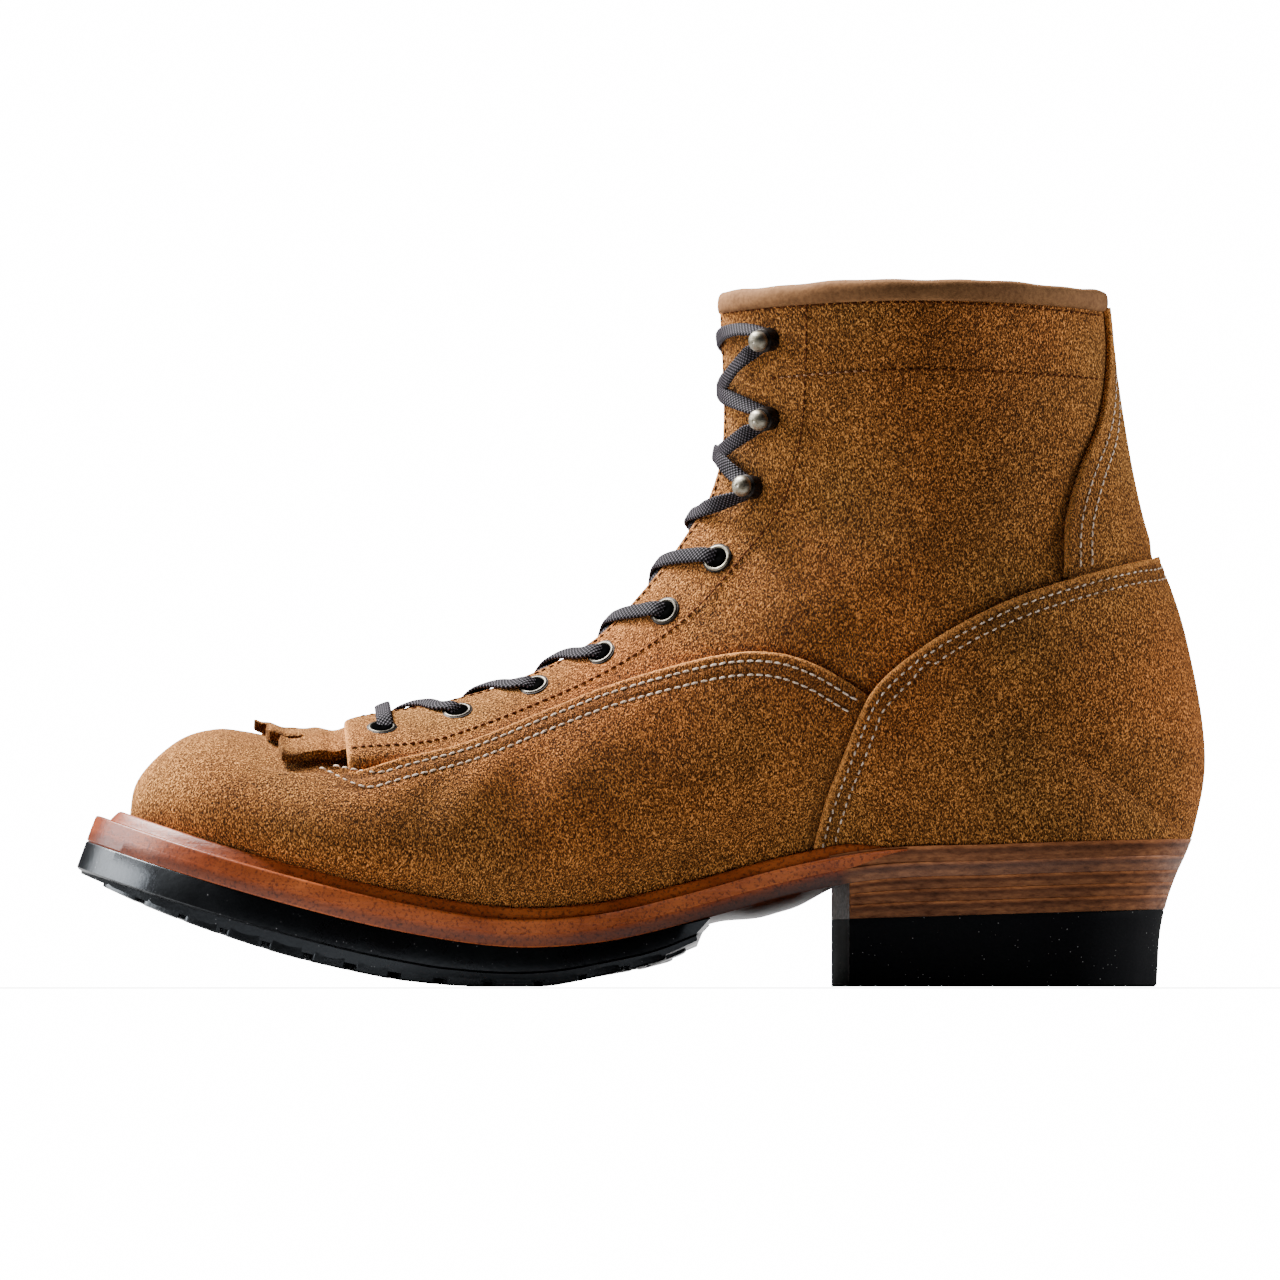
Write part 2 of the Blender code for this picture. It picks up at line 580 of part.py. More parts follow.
def heel_slice(name, levels, finish):
    """One layer of the heel between two or more levels; each level is a function of x giving height."""
    angles = np.linspace(0, float(plan_angle(BREAST + 1)), 10)
    across = np.linspace(0, 1, 3)
    layers = []
    for level in levels:
        x = HEEL_END - SOLE_LENGTH * (1 - np.cos(angles)) / 2
        inset = smooth(level(x), *HEEL_BACK.T)
        edges = [plan(angles, side, inset, inset * HEEL_TAPER_SIDE)[:, None] for side in (MEDIAL, LATERAL)]
        flat = edges[0] * (1 - across[None, :, None]) + edges[1] * across[None, :, None]
        flat[-1, :, 0] = BREAST + 1
        layers.append(np.concatenate([flat, level(flat[..., 0])[..., None]], -1))
    loops = [np.concatenate([g[:, 0], g[-1, 1:-1], g[::-1, -1][:-1]]) for g in layers]
    rows, cols = layers[0].shape[:2]
    index = np.arange(rows * cols).reshape(rows, cols)
    verts = [layers[0].reshape(-1, 3), layers[-1].reshape(-1, 3)]
    faces = []
    for i in range(rows - 1):
        for j in range(cols - 1):
            quad = (index[i, j], index[i + 1, j], index[i + 1, j + 1], index[i, j + 1])
            faces.append(quad)
            faces.append([rows * cols + q for q in quad][::-1])
    base = 2 * rows * cols
    size = len(loops[0])
    for k, loop in enumerate(loops):
        verts.append(loop)
        if k:
            for j in range(size):
                a, b = base + (k - 1) * size + j, base + (k - 1) * size + (j + 1) % size
                faces.append((a, b, b + size, a + size))
    mesh_object(name, np.concatenate(verts), faces, finish)


def make_heel():
    def flat_floor(x):
        return 0 * x

    def between(share, shift):
        return lambda x: heel_level(x, share) + shift

    waist = [lambda x, s=s: s * (heel_level(x, 0) - GAP) for s in (0.35, 0.7)]
    heel_slice("heel_rubber", [flat_floor, *waist, between(0, -GAP)], RUBBER)
    for number, (low, high) in enumerate(zip(LIFT_LEVELS[:-1], LIFT_LEVELS[1:]), 1):
        heel_slice(f"heel_lift_{number}", [between(low, 0), between(high, -GAP)], WELT_LEATHER)


def make_outsole():
    """Half sole: a slab under the midsole with rows of lugs that end on the tread line."""
    starts = np.array([-143.0, -131.5, -120.0, -108.5, -97.0, -85.5, -74.0, -62.5, -50.5, -38.0, -25.5, -14.0,
                       -3.0])
    lines = np.concatenate([[-151.0, -149.3], np.stack([starts, starts + LUG_LENGTH], -1).ravel(),
                            [RUBBER_REAR_FOOT]])
    lug_row = np.isin(lines[:-1], starts)
    lug_col = np.array([False, True, False, True, False, True, False])
    across = np.array([0.0, 0.045, 0.30, 0.37, 0.63, 0.70, 0.955, 1.0])
    angles = plan_angle(lines)
    total = (smooth(lines, *SOLE_LINE.T) - smooth(lines, *TREAD_LINE.T)) * 0.97
    groove = np.minimum(RUBBER_SIDE, 0.64 * total)
    top_angles = np.append(angles[:-1], plan_angle(RUBBER_REAR_TOP))
    top = sole_grid(top_angles, across, 0.0, 0.0, -GAP)
    low = sole_grid(angles, across, 0.0, 0.0, -groove[:, None])
    tread = sole_grid(angles, across, 0.0, 0.0, -total[:, None])
    on_floor = (lines >= -51) & (lines <= -24)
    tread[..., 2] = np.where(on_floor[:, None], 0.0, np.maximum(tread[..., 2], 0.0))
    rows, cols = top.shape[:2]
    count = rows * cols
    index = np.arange(count).reshape(rows, cols)
    faces = []
    for i in range(rows - 1):
        for j in range(cols - 1):
            quad = (index[i, j], index[i + 1, j], index[i + 1, j + 1], index[i, j + 1])
            faces.append(quad)
            is_lug = lug_row[i] and lug_col[j]
            faces.append([count * (2 if is_lug else 1) + q for q in quad][::-1])
            if is_lug:
                for a, b in zip(quad, quad[1:] + quad[:1]):
                    faces.append((count + a, count + b, 2 * count + b, 2 * count + a))
    rim = [*index[:, 0], *index[-1, 1:], *index[-2::-1, -1]]
    for a, b in zip(rim, rim[1:]):
        faces.append((b, a, count + a, count + b))
    used = sorted({int(q) for face in faces for q in face})
    renumber = {old: new for new, old in enumerate(used)}
    verts = np.concatenate([g.reshape(-1, 3) for g in (top, low, tread)])[used]
    mesh_object("outsole", verts, [[renumber[int(q)] for q in face] for face in faces], RUBBER)


# The upper and the leather on it.

def step_v(u, v, distance):
    """How much v a distance along a section takes."""
    d = 2e-3
    high = np.clip(v, d, 1 - d)
    reach = np.linalg.norm(bare_last(u, high + d, MEDIAL) - bare_last(u, high - d, MEDIAL), axis=-1)
    return distance * 2 * d / np.maximum(reach, 1e-4)


def throat_v(u):
    """Throat edge: 0 in front of the slot, where both sides are joined."""
    return np.where(u < SLOT_BACK_U - 1e-6, 0.0, half_to_v(u, THROAT_HALF))


def spread(start, end, count):
    """Grid of values, a row for each pair of ends."""
    share = np.linspace(0, 1, count)[None]
    return start[:, None] * (1 - share) + end[:, None] * share


def above_counter(u):
    """Just clear of the counter's edge, or the seat or back seam where there is no counter."""
    edge = counter_edge(u)
    return np.where(edge > 0.98, 1.0, edge - step_v(u, edge, 2 * GAP))


def crossing_u(low, high, first, second, margin):
    """u between low and high at which second is margin above first."""
    u = np.linspace(low, high, 600)
    return float(u[np.argmin(np.abs(second(u) - first(u) - margin))])


KILTIE_MID_U = front_to_u(-71.0)
KILTIE_REAR_U = front_to_u(-62.0)
COUNTER_U = DENSE_U[counter_edge(DENSE_U) < 0.97][[0, -1]]
VAMP_END_U = crossing_u(ROW_U[NAMES.index("waist")], CORNER_U, vamp_edge, above_counter, 0.03)
BACKSTAY_U = crossing_u(CORNER_U, COUNTER_U[1], backstay_edge, above_counter, 0.03)
FINE_ROWS = [[NAMES.index(name) for name in pair] for pair in (
    ("toe tip", "toe shoulder"), ("instep", "high instep"), ("short heel", "heel corner"))]
MARKS = np.sort([0, *ROW_U[np.unique(FINE_ROWS)], SLOT_FRONT_U, SLOT_BACK_U, KILTIE_MID_U, KILTIE_REAR_U,
                 *COUNTER_U, COUNTER_U[1] + 0.15, VAMP_END_U, BACKSTAY_U, END_U])


def rows_between(low, high):
    """Rows of the mesh from one mark to the next, closer together round the toe, the waist and the heel."""
    mid = (low + high) / 2
    fine = any(ROW_U[a] <= mid <= ROW_U[b] for a, b in FINE_ROWS)
    return np.linspace(low, high, max(2, 1 + math.ceil((high - low) / (FINE_STEP if fine else ROW_STEP))))


UPPER_U = np.unique(np.concatenate([rows_between(*pair) for pair in zip(MARKS[:-1], MARKS[1:])]).round(6))


def second_edge(u):
    """The counter's edge, or the seat or back seam where there is no counter."""
    return np.where((u >= COUNTER_U[0] - 1e-5) & (u <= COUNTER_U[1] + 1e-5), counter_edge(u), 1.0)


def first_edge(u):
    """Upper edge of the leather on the upper: the vamp's, then the counter's, then the backstay's."""
    vamp = np.where(u <= SLOT_BACK_U, SLOT_V, vamp_edge(u))
    rear = np.where(u >= BACKSTAY_U - 1e-5, backstay_edge(u), counter_edge(u))
    return np.minimum(np.where(u <= VAMP_END_U + 1e-5, vamp, rear), second_edge(u))


def column_v(u):
    """The columns that the upper and all that lies on it share; two of them are the overlays' edges. At
    the toe's tip they meet in one point."""
    columns = np.concatenate([spread(throat_v(u), first_edge(u), EYESTAY_COLS + 1),
                              spread(first_edge(u), second_edge(u), BAND_COLS + 1)[:, 1:],
                              spread(second_edge(u), np.ones_like(u), COUNTER_COLS + 1)[:, 1:]], 1)
    return np.where((u <= 0)[:, None], 1.0, columns)


def shell(name, u, v, inner, outer, keep_side, joined_front, joined_back, finish=SUEDE):
    """Leather over both sides of the last, between two lifts. Its columns run from the foot up the medial
    side and down the lateral one; the sides are joined at the ridge and at the back seam where told."""
    grid_u = np.repeat(u[:, None], v.shape[1], 1)
    grids = [np.concatenate([last(grid_u, v, MEDIAL, lift)[:, ::-1], last(grid_u, v, LATERAL, lift)], 1)
             for lift in (inner, outer)]
    keep = np.concatenate([keep_side[:, ::-1], joined_front[:, None], keep_side, joined_back[:, None]], 1)
    return block(name, grids[0], grids[1], finish, keep)


def overlay(name, low, high, first_v, last_v, thick, clear=1.5 * GAP):
    """Leather laid on the upper from one edge to another, on the upper's own rows and columns."""
    u = UPPER_U[(UPPER_U >= low - 1e-5) & (UPPER_U <= high + 1e-5)]
    v = np.clip(column_v(u), first_v(u)[:, None], last_v(u)[:, None])
    mid = (u[:-1] + u[1:]) / 2
    keep = np.ones((len(u) - 1, v.shape[1] - 1), dtype=bool)
    keep[:, :EYESTAY_COLS] = (mid < SLOT_FRONT_U)[:, None]
    joined_front = (first_v(u)[:-1] <= 0) & (mid < SLOT_FRONT_U)
    joined_back = (v[:-1, -1] >= 1) & (v[1:, -1] >= 1) & (mid > CORNER_U)
    lift = eyestay_lift(np.repeat(u[:, None], v.shape[1], 1), v)
    return shell(name, u, v, lift + clear, lift + GAP + thick, keep, joined_front, joined_back)


def make_upper():
    """One wall: both sides of the last as far as the throat and slot, with its thickness inwards."""
    v = column_v(UPPER_U)
    mid = (UPPER_U[:-1] + UPPER_U[1:]) / 2
    keep = np.ones((len(mid), v.shape[1] - 1), dtype=bool)
    keep[(mid > SLOT_FRONT_U) & (mid < SLOT_BACK_U), :EYESTAY_COLS] = False
    lift = eyestay_lift(np.repeat(UPPER_U[:, None], v.shape[1], 1), v)
    return shell("upper", UPPER_U, v, lift - WALL, lift, keep, mid < SLOT_FRONT_U, mid > CORNER_U)


def make_overlays():
    def vamp_top(u):
        return np.where(u <= SLOT_FRONT_U + 1e-5, 0.0, first_edge(u))

    def seat(u):
        return np.ones_like(u)

    overlay("vamp", 0, VAMP_END_U, vamp_top, above_counter, OVERLAY)
    overlay("heel_counter", COUNTER_U[0], COUNTER_U[1], counter_edge, seat, OVERLAY + COUNTER_PROUD)
    overlay("backstay", BACKSTAY_U, END_U, backstay_edge, above_counter, OVERLAY, 3 * GAP)


def make_binding():
    """Rolled strip on the collar's edge, from one side of the throat round the back to the other."""
    start = float(throat_v(np.array([END_U]))[0])
    medial = np.linspace(start, 1, 12)
    profile = ((BINDING_OVERHANG, GAP), (BINDING_OVERHANG, 0.7 * BINDING_RISE), (0.0, BINDING_RISE),
               (-WALL, BINDING_RISE), (-WALL - BINDING_OVERHANG, 0.7 * BINDING_RISE),
               (-WALL - BINDING_OVERHANG, GAP))
    rings = []
    for side, v in ((MEDIAL, medial), (LATERAL, medial[-2::-1])):
        u = np.full_like(v, END_U)
        rings.append(np.stack([last(u, v, side, lift) + (0, 0, rise) for lift, rise in profile], 1))
    swept("collar_binding", np.concatenate(rings), BINDING)


def across_throat(u, half_v, count):
    """Signed v across the throat, negative on the medial side."""
    return spread(-half_v, half_v, count)


def signed_last(u, w, lift):
    """The last at signed v: the medial side where it is negative."""
    return np.where((w < 0)[..., None], last(u, np.abs(w), MEDIAL, lift), last(u, np.abs(w), LATERAL, lift))


def make_tongue():
    rear = UPPER_U[UPPER_U > KILTIE_REAR_U + 1e-5]
    u = np.concatenate([[front_to_u(-90.0), SLOT_BACK_U, KILTIE_REAR_U], rear[1:-1:2], [END_U]])
    w = across_throat(u, half_to_v(u, TONGUE_HALF), 7)
    grid_u = np.repeat(u[:, None], 7, 1)
    under_kiltie = 1 - ramp(grid_u, KILTIE_REAR_U + ROW_STEP, KILTIE_REAR_U + 3 * ROW_STEP)
    under_binding = ramp(grid_u, ROW_U[-2], END_U)
    top = -(WALL + 5 * GAP + (KILTIE + 2 * GAP) * under_kiltie + (BINDING_OVERHANG + GAP) * under_binding)
    block("tongue", signed_last(grid_u, w, top - TONGUE), signed_last(grid_u, w, top), SUEDE)


def make_kiltie():
    """Fringed flap: under the eyestays at its rear, over the vamp at its front, cut into fingers."""
    front_x = np.array([-99.5, -102.5, -105.0, -102.5, -99.5])
    half = 0.78 * SLOT_V
    slit = 0.02
    edges = np.linspace(-half, half, len(front_x) + 1)
    columns = []
    finger_of = []
    for k in range(len(front_x)):
        low = edges[k] + (slit / 2 if k else 0)
        high = edges[k + 1] - (slit / 2 if k < len(front_x) - 1 else 0)
        columns += [low, (low + high) / 2, high]
        finger_of += [k] * 3
    w_row = np.array(columns)
    finger_of = np.array(finger_of)
    x_rows = np.array([np.nan, -97.5, -94.0, SLOT_FRONT + 0.8, SLOT_BACK, -71.0, -62.0])
    x = np.where(np.isnan(x_rows)[:, None], np.array(front_x)[finger_of], x_rows[:, None])
    u = np.vectorize(front_to_u)(x)
    w = np.repeat(w_row[None], len(x_rows), 0)
    over_vamp = 1 - ramp(u, front_to_u(SLOT_FRONT + 0.8), SLOT_BACK_U)
    beneath = eyestay_lift(np.maximum(u, SLOT_BACK_U), np.abs(w)) - WALL - 3 * GAP - KILTIE
    low = over_vamp * (OVERLAY + 2.5 * GAP) + (1 - over_vamp) * beneath
    keep = np.ones((len(x_rows) - 1, len(w_row) - 1), dtype=bool)
    keep[:2, 2::3] = False
    block("kiltie", signed_last(u, w, low), signed_last(u, w, low + KILTIE), SUEDE, keep)


# Metal and lace.

def place_on_upper(u, v, side, lift):
    """Matrix at a place on the upper, with Z out of the leather."""
    du, dv = 0.5, 0.03
    at = [last(np.array(u + a), np.array(v + b), side, eyestay_lift(u + a, v + b) + lift)
          for a, b in ((-du, 0), (du, 0), (0, -dv), (0, dv), (0, 0))]
    along = unit(at[1] - at[0])
    out = unit(side * np.cross(along, at[3] - at[2]))
    made = Matrix.Identity(4)
    for column, axis in enumerate((along, np.cross(out, along), out)):
        made.col[column][:3] = axis
    made.translation = Vector((at[4] - ORIGIN) * MM)
    return made


def turned(name, profile, matrix, finish=METAL):
    """Turned solid: a profile of (radius, height) carried round Z."""
    mesh = bpy.data.meshes.new(name)
    closed = profile[0][0] > 0
    count = len(profile)
    edges = [(i, (i + 1) % count) for i in range(count if closed else count - 1)]
    mesh.from_pydata([(r * MM, 0, z * MM) for r, z in profile], edges, [])
    mesh.materials.append(finish)
    made = bpy.data.objects.new(name, mesh)
    BOOT.objects.link(made)
    made.matrix_world = matrix
    screw = made.modifiers.new("turn", "SCREW")
    screw.axis = "Z"
    screw.angle = 2 * math.pi
    screw.steps = TURN_STEPS
    screw.render_steps = TURN_STEPS
    screw.use_merge_vertices = True
    screw.merge_threshold = 1e-5
    screw.use_normal_calculate = True
    screw.use_normal_flip = True
    return made


def side_name(side):
    return "medial" if side == MEDIAL else "lateral"


def make_eyelets():
    """Rings on both sides, and the holes under them."""
    ring = ((EYELET_HOLE_R, 0), (EYELET_R, 0), (EYELET_R - 0.5, EYELET_RIM), (EYELET_HOLE_R, EYELET_RIM))
    work = bmesh.new()
    for side in (MEDIAL, LATERAL):
        for number, (u, v) in enumerate(EYELET_UV, 1):
            turned(f"eyelet_{side_name(side)}_{number}", ring, place_on_upper(u, v, side, METAL_BED))
            bmesh.ops.create_cone(work, cap_ends=True, segments=TURN_STEPS, radius1=EYELET_HOLE_R * MM,
                                  radius2=EYELET_HOLE_R * MM, depth=4 * WALL * MM,
                                  matrix=place_on_upper(u, v, side, -WALL / 2))
    mesh = bpy.data.meshes.new("eyelet_holes")
    work.to_mesh(mesh)
    work.free()
    cut(upper, mesh, "DIFFERENCE")


def make_hooks():
    stem_top = HOOK_HEIGHT - 1.7 * HOOK_HEAD_R
    profile = ((0, 0), (HOOK_BASE_R, 0), (HOOK_BASE_R, HOOK_BASE), (HOOK_STEM_R, HOOK_BASE),
               (HOOK_STEM_R, stem_top), (HOOK_HEAD_R, HOOK_HEIGHT - HOOK_HEAD_R),
               (0.72 * HOOK_HEAD_R, HOOK_HEIGHT - 0.28 * HOOK_HEAD_R), (0, HOOK_HEIGHT))
    for side in (MEDIAL, LATERAL):
        for number, (u, v) in enumerate(HOOK_UV, 1):
            turned(f"lace_hook_{side_name(side)}_{number}", profile, place_on_upper(u, v, side, METAL_BED))


def cut(target, tool_mesh, operation):
    """Boolean of an object with a mesh, kept as a hidden cutter."""
    tool = bpy.data.objects.new(tool_mesh.name, tool_mesh)
    CUTTERS.objects.link(tool)
    tool.hide_render = True
    tool.display_type = "WIRE"
    change = target.modifiers.new(tool_mesh.name, "BOOLEAN")
    change.operation = operation
    change.object = tool
    change.solver = "EXACT"


def lace_strand(name, start, end, trims, bump, collection=BOOT):
    """Flat lace between two places (u, signed v) over the throat, each end short of its place by a trim."""
    t = np.linspace(0, 1, 60)
    u = start[0] * (1 - t) + end[0] * t
    w = start[1] * (1 - t) + end[1] * t
    path = signed_last(u, w, eyestay_lift(u, np.abs(w)) + LACE_BED)
    run = np.concatenate([[0], np.cumsum(np.linalg.norm(np.diff(path, axis=0), axis=1))])
    t = np.interp(np.linspace(trims[0], run[-1] - trims[1], 7), run, t)
    u = start[0] * (1 - t) + end[0] * t
    w = start[1] * (1 - t) + end[1] * t

    def at(dt):
        here_u = u + (end[0] - start[0]) * dt
        here_w = w + (end[1] - start[1]) * dt
        lift = eyestay_lift(here_u, np.abs(here_w)) + LACE_BED + bump * np.sin(math.pi * t)
        return signed_last(here_u, here_w, lift)

    along = unit(at(0.02) - at(-0.02))
    out = np.where((w < 0)[:, None], out_of_last(u, np.abs(w), MEDIAL), out_of_last(u, np.abs(w), LATERAL))
    across = unit(np.cross(out, along))
    out = np.cross(along, across)
    rings = np.stack([at(0) + a * LACE_WIDTH / 2 * across + b * LACE_THICK / 2 * out
                      for a, b in ((-1, -1), (1, -1), (1, 1), (-1, 1))], 1)
    return swept(name, rings, LACE, collection)


def make_lace():
    """A bar at the lowest eyelets, then crossings: each strand comes out over the throat's edge above one
    station and ends beside the next one on the other side."""
    u, v = np.concatenate([EYELET_UV, HOOK_UV]).T
    lace_strand("lace_bar", (u[0], -v[0]), (u[0], v[0]), (LACE_TRIM, LACE_TRIM), 0.0)
    for k in range(1, len(u)):
        low_u = u[k - 1] + LACE_START * (u[k] - u[k - 1])
        low_v = 0.9 * throat_v(np.array([low_u]))[0]
        trims = (0, LACE_TRIM)
        first = lace_strand(f"lace_crossing_{k}", (low_u, -low_v), (u[k], v[k]), trims, LACE_THICK / 2)
        second = lace_strand(f"lace_under_{k}", (low_u, low_v), (u[k], -v[k]), trims, 0.0, CUTTERS)
        mesh = second.data
        bpy.data.objects.remove(second)
        cut(first, mesh, "UNION")


EYELET_UV = side_to_last(EYELETS)
HOOK_UV = side_to_last(HOOKS)

make_midsole()
make_insole()
make_welt()
make_heel_rand()
make_heel()
make_outsole()
upper = make_upper()
make_overlays()
make_binding()
make_tongue()
make_kiltie()
make_eyelets()
make_hooks()
make_lace()
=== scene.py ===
"""Looks of the monkey boot: its leather panels, seams, laces, metal, welt and sole layers as smooth surfaces.

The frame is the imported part: toe towards -X, heel towards +X, medial side towards -Y, floor at Z = 0. Sizes
are in millimetres until a mesh is made. The upper is a function of two parameters, last(u, v, side): u runs
from the toe tip to the collar and v from the ridge or throat to the welt or back seam.
"""
import math

import bmesh
import bpy
import numpy as np
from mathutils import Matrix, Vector


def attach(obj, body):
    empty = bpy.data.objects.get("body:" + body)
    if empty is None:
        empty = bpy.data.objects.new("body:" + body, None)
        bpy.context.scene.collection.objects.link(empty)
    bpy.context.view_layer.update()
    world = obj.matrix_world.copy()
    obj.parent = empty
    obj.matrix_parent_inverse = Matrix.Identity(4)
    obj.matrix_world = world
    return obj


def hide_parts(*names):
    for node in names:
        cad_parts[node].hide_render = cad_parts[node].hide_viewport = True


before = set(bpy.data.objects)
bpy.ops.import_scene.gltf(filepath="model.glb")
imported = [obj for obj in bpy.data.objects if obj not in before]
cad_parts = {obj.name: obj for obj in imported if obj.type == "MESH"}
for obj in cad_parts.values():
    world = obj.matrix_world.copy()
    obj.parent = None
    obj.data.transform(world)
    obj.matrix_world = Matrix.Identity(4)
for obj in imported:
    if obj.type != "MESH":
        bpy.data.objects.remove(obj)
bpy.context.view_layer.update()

MM = 0.001
ORIGIN = np.array((0.46, 0.70, 0.0))
MEDIAL, LATERAL = -1, 1
SIDES = (MEDIAL, LATERAL)
RNG = np.random.default_rng(7)

# Camera, floor and backdrop: lengths are in metres here, the sensor's width in millimetres.
CAMERA_FAR, CAMERA_HIGH, FRAME_WIDE = 8.0, 0.0015, 0.3495
CAMERA_X, AIM_HIGH, SENSOR = -0.00046, 0.0947, 36.0
FLOOR_HALF, FLOOR_DROP = 0.55, 0.0003
AMBIENT, BACKDROP = 0.0015, 16.0
COOL_WHITE = (0.97, 0.99, 1.0)

# Sole: lengths along the boot are x on the midsole's underside, heights n are square to it. Neighbours in the
# stack overlap by TOUCH, and edges that turn more than CRISP degrees stay crisp.
HEEL_END, TOE_END = 151.0, -151.0
SOLE_LENGTH = HEEL_END - TOE_END
MIDSOLE_TOP = 3.9
WELT_FLAT = 7.6
SEAT = 8.0
RIDGE_TOP = 10.6
RIDGE_WIDTH = 3.4
INSOLE_TOP = 11.0
WAIST_ROLL = 2.0
WAIST_CROWN = 3.2
WELT_END = 73.0
BREAST = 56.0
BREAST_SLANT = 4.5
RUBBER_SIDE = 8.0
RUBBER_REAR_TOP = 19.0
RUBBER_REAR_FOOT = 14.6
HEEL_TAPER_SIDE = 0.6
GROOVE_SHARE, GROOVE_SHARE_TOE = 0.64, 0.90
LUG_INSET = 1.5
GAP = 0.3
TOUCH = 0.02
CRISP = 40

# Leather.
WALL = 2.2
OVERLAY = 2.2
COUNTER_PROUD = 0.4
TONGUE = 2.4
KILTIE = 3.0
BINDING_RISE = 4.6
BINDING_OVERHANG = 1.2
THROAT_HALF = 6.0
BINDING_HALF = 8.8
TONGUE_HALF = 24.0
SLOT_FRONT, SLOT_BACK = -87.5, -80.0
KILTIE_SLIT, KILTIE_REAR, TONGUE_FRONT = -92.8, -62.0, -92.0
KILTIE_GAP = 0.02
THROAT_CORNER = 4.2
EYESTAY_LIFT, EYESTAY_LIFT_END = 4.2, -54.0
COLLAR_RISE = 2.7
TOE_SWELL = 1.8

# Lace and metal; AXIS_R is the smallest radius of a turned profile.
LACE_WIDTH, LACE_THICK = 4.4, 1.2
FLANGE_R, FLANGE_HOLE_R, ROLL_R, BARREL_R = 4.25, 3.3, 3.35, 3.2
HOOK_HEAD_R, HOOK_BASE_R, HOOK_HEIGHT = 2.9, 3.3, 7.4
HOOK_LIFT = 0.2
AXIS_R = 0.02

# Seams: thread width, stitch pitch and visible length, and how far the double rows lie from an edge.
THREAD, PITCH, STITCH = 0.60, 2.55, 2.2
COUNTER_THREAD, COUNTER_STITCH = 0.54, 1.7
WELT_THREAD, WELT_PITCH, WELT_STITCH = 0.85, 3.6, 2.8
BROWN_PITCH = 2.3
THREAD_SLANT, THREAD_SUNK = 0.06, 0.25
# Depth and width of the troughs along the rows, and width of the painted shade darkening each row.
TROUGH_DEPTH, TROUGH_WIDTH, ROW_SHADE_WIDTH = 0.28, 0.9, 0.7
VAMP_ROWS = (2.7, 6.5)
COUNTER_ROWS = (2.6, 5.6)
BACKSTAY_ROWS = (4.2, 7.8)
VAMP_ROW_STARTS = np.array([
    # x, z of the first two points of each row of the vamp
    ((-83.538, 58.422), (-81.081, 57.4392)), ((-87.087, 57.876), (-84.63, 55.8012)),
])

SOLE_LINE = np.array([
    # x, height of the midsole's underside
    (-165.0, 45.2), (-152.0, 40.2), (-125.0, 31.0), (-95.0, 22.2), (-65.0, 15.0), (-32.0, 10.7),
    (-10.0, 12.2), (15.0, 17.9), (38.0, 24.2), (58.0, 28.4), (100.0, 30.6), (155.0, 32.2),
])
PLAN = np.array([
    # from heel, medial half width, lateral half width
    (0.0, 0.0, 0.0), (10.0, 24.0, 24.0), (30.0, 34.0, 34.0), (60.0, 33.5, 33.5), (90.0, 29.0, 33.0),
    (120.0, 26.0, 34.0), (150.0, 30.0, 39.0), (180.0, 40.0, 46.0), (200.0, 46.0, 51.0),
    (215.0, 49.5, 52.5), (230.0, 51.0, 51.0), (249.0, 50.0, 46.5), (268.0, 46.0, 38.5),
    (282.0, 38.5, 28.5), (294.0, 26.0, 14.0), (302.0, 7.0, -7.0),
])
WALL_INSET = np.array([
    # x, how far the upper's wall stands in from the sole's edge
    (-151.0, 10.8), (-60.0, 10.2), (-20.0, 8.2), (20.0, 6.4), (50.0, 5.6), (85.0, 3.9), (151.0, 3.3),
])
TREAD_LINE = np.array([
    # x, height of the lugs' underside
    (-153.0, 31.0), (-131.0, 21.0), (-106.6, 12.0), (-92.1, 7.5), (-76.7, 3.8), (-65.8, 1.6),
    (-52.0, 0.0), (-24.0, 0.0), (-8.7, 3.4), (3.8, 6.6), (14.6, 11.6),
])
HEEL_BACK = np.array([
    # height, how far the heel's back stands in from the heel end
    (0.0, 10.0), (7.4, 9.6), (12.8, 9.3), (18.3, 8.5), (23.8, 7.1), (29.2, 5.2), (34.7, 2.8),
    (39.9, 0.0),
])
HEEL_TOP_FRONT, HEEL_TOP_BACK = 18.5, 21.4
LIFT_LEVELS = (0.0, 0.375, 0.6875, 1.0)
LAST_COLUMNS = ("front_x", "front_z", "ridge_y", "foot_x", "foot_z", "medial", "lateral", "widest",
                "front_round", "foot_tuck", "foot_round")
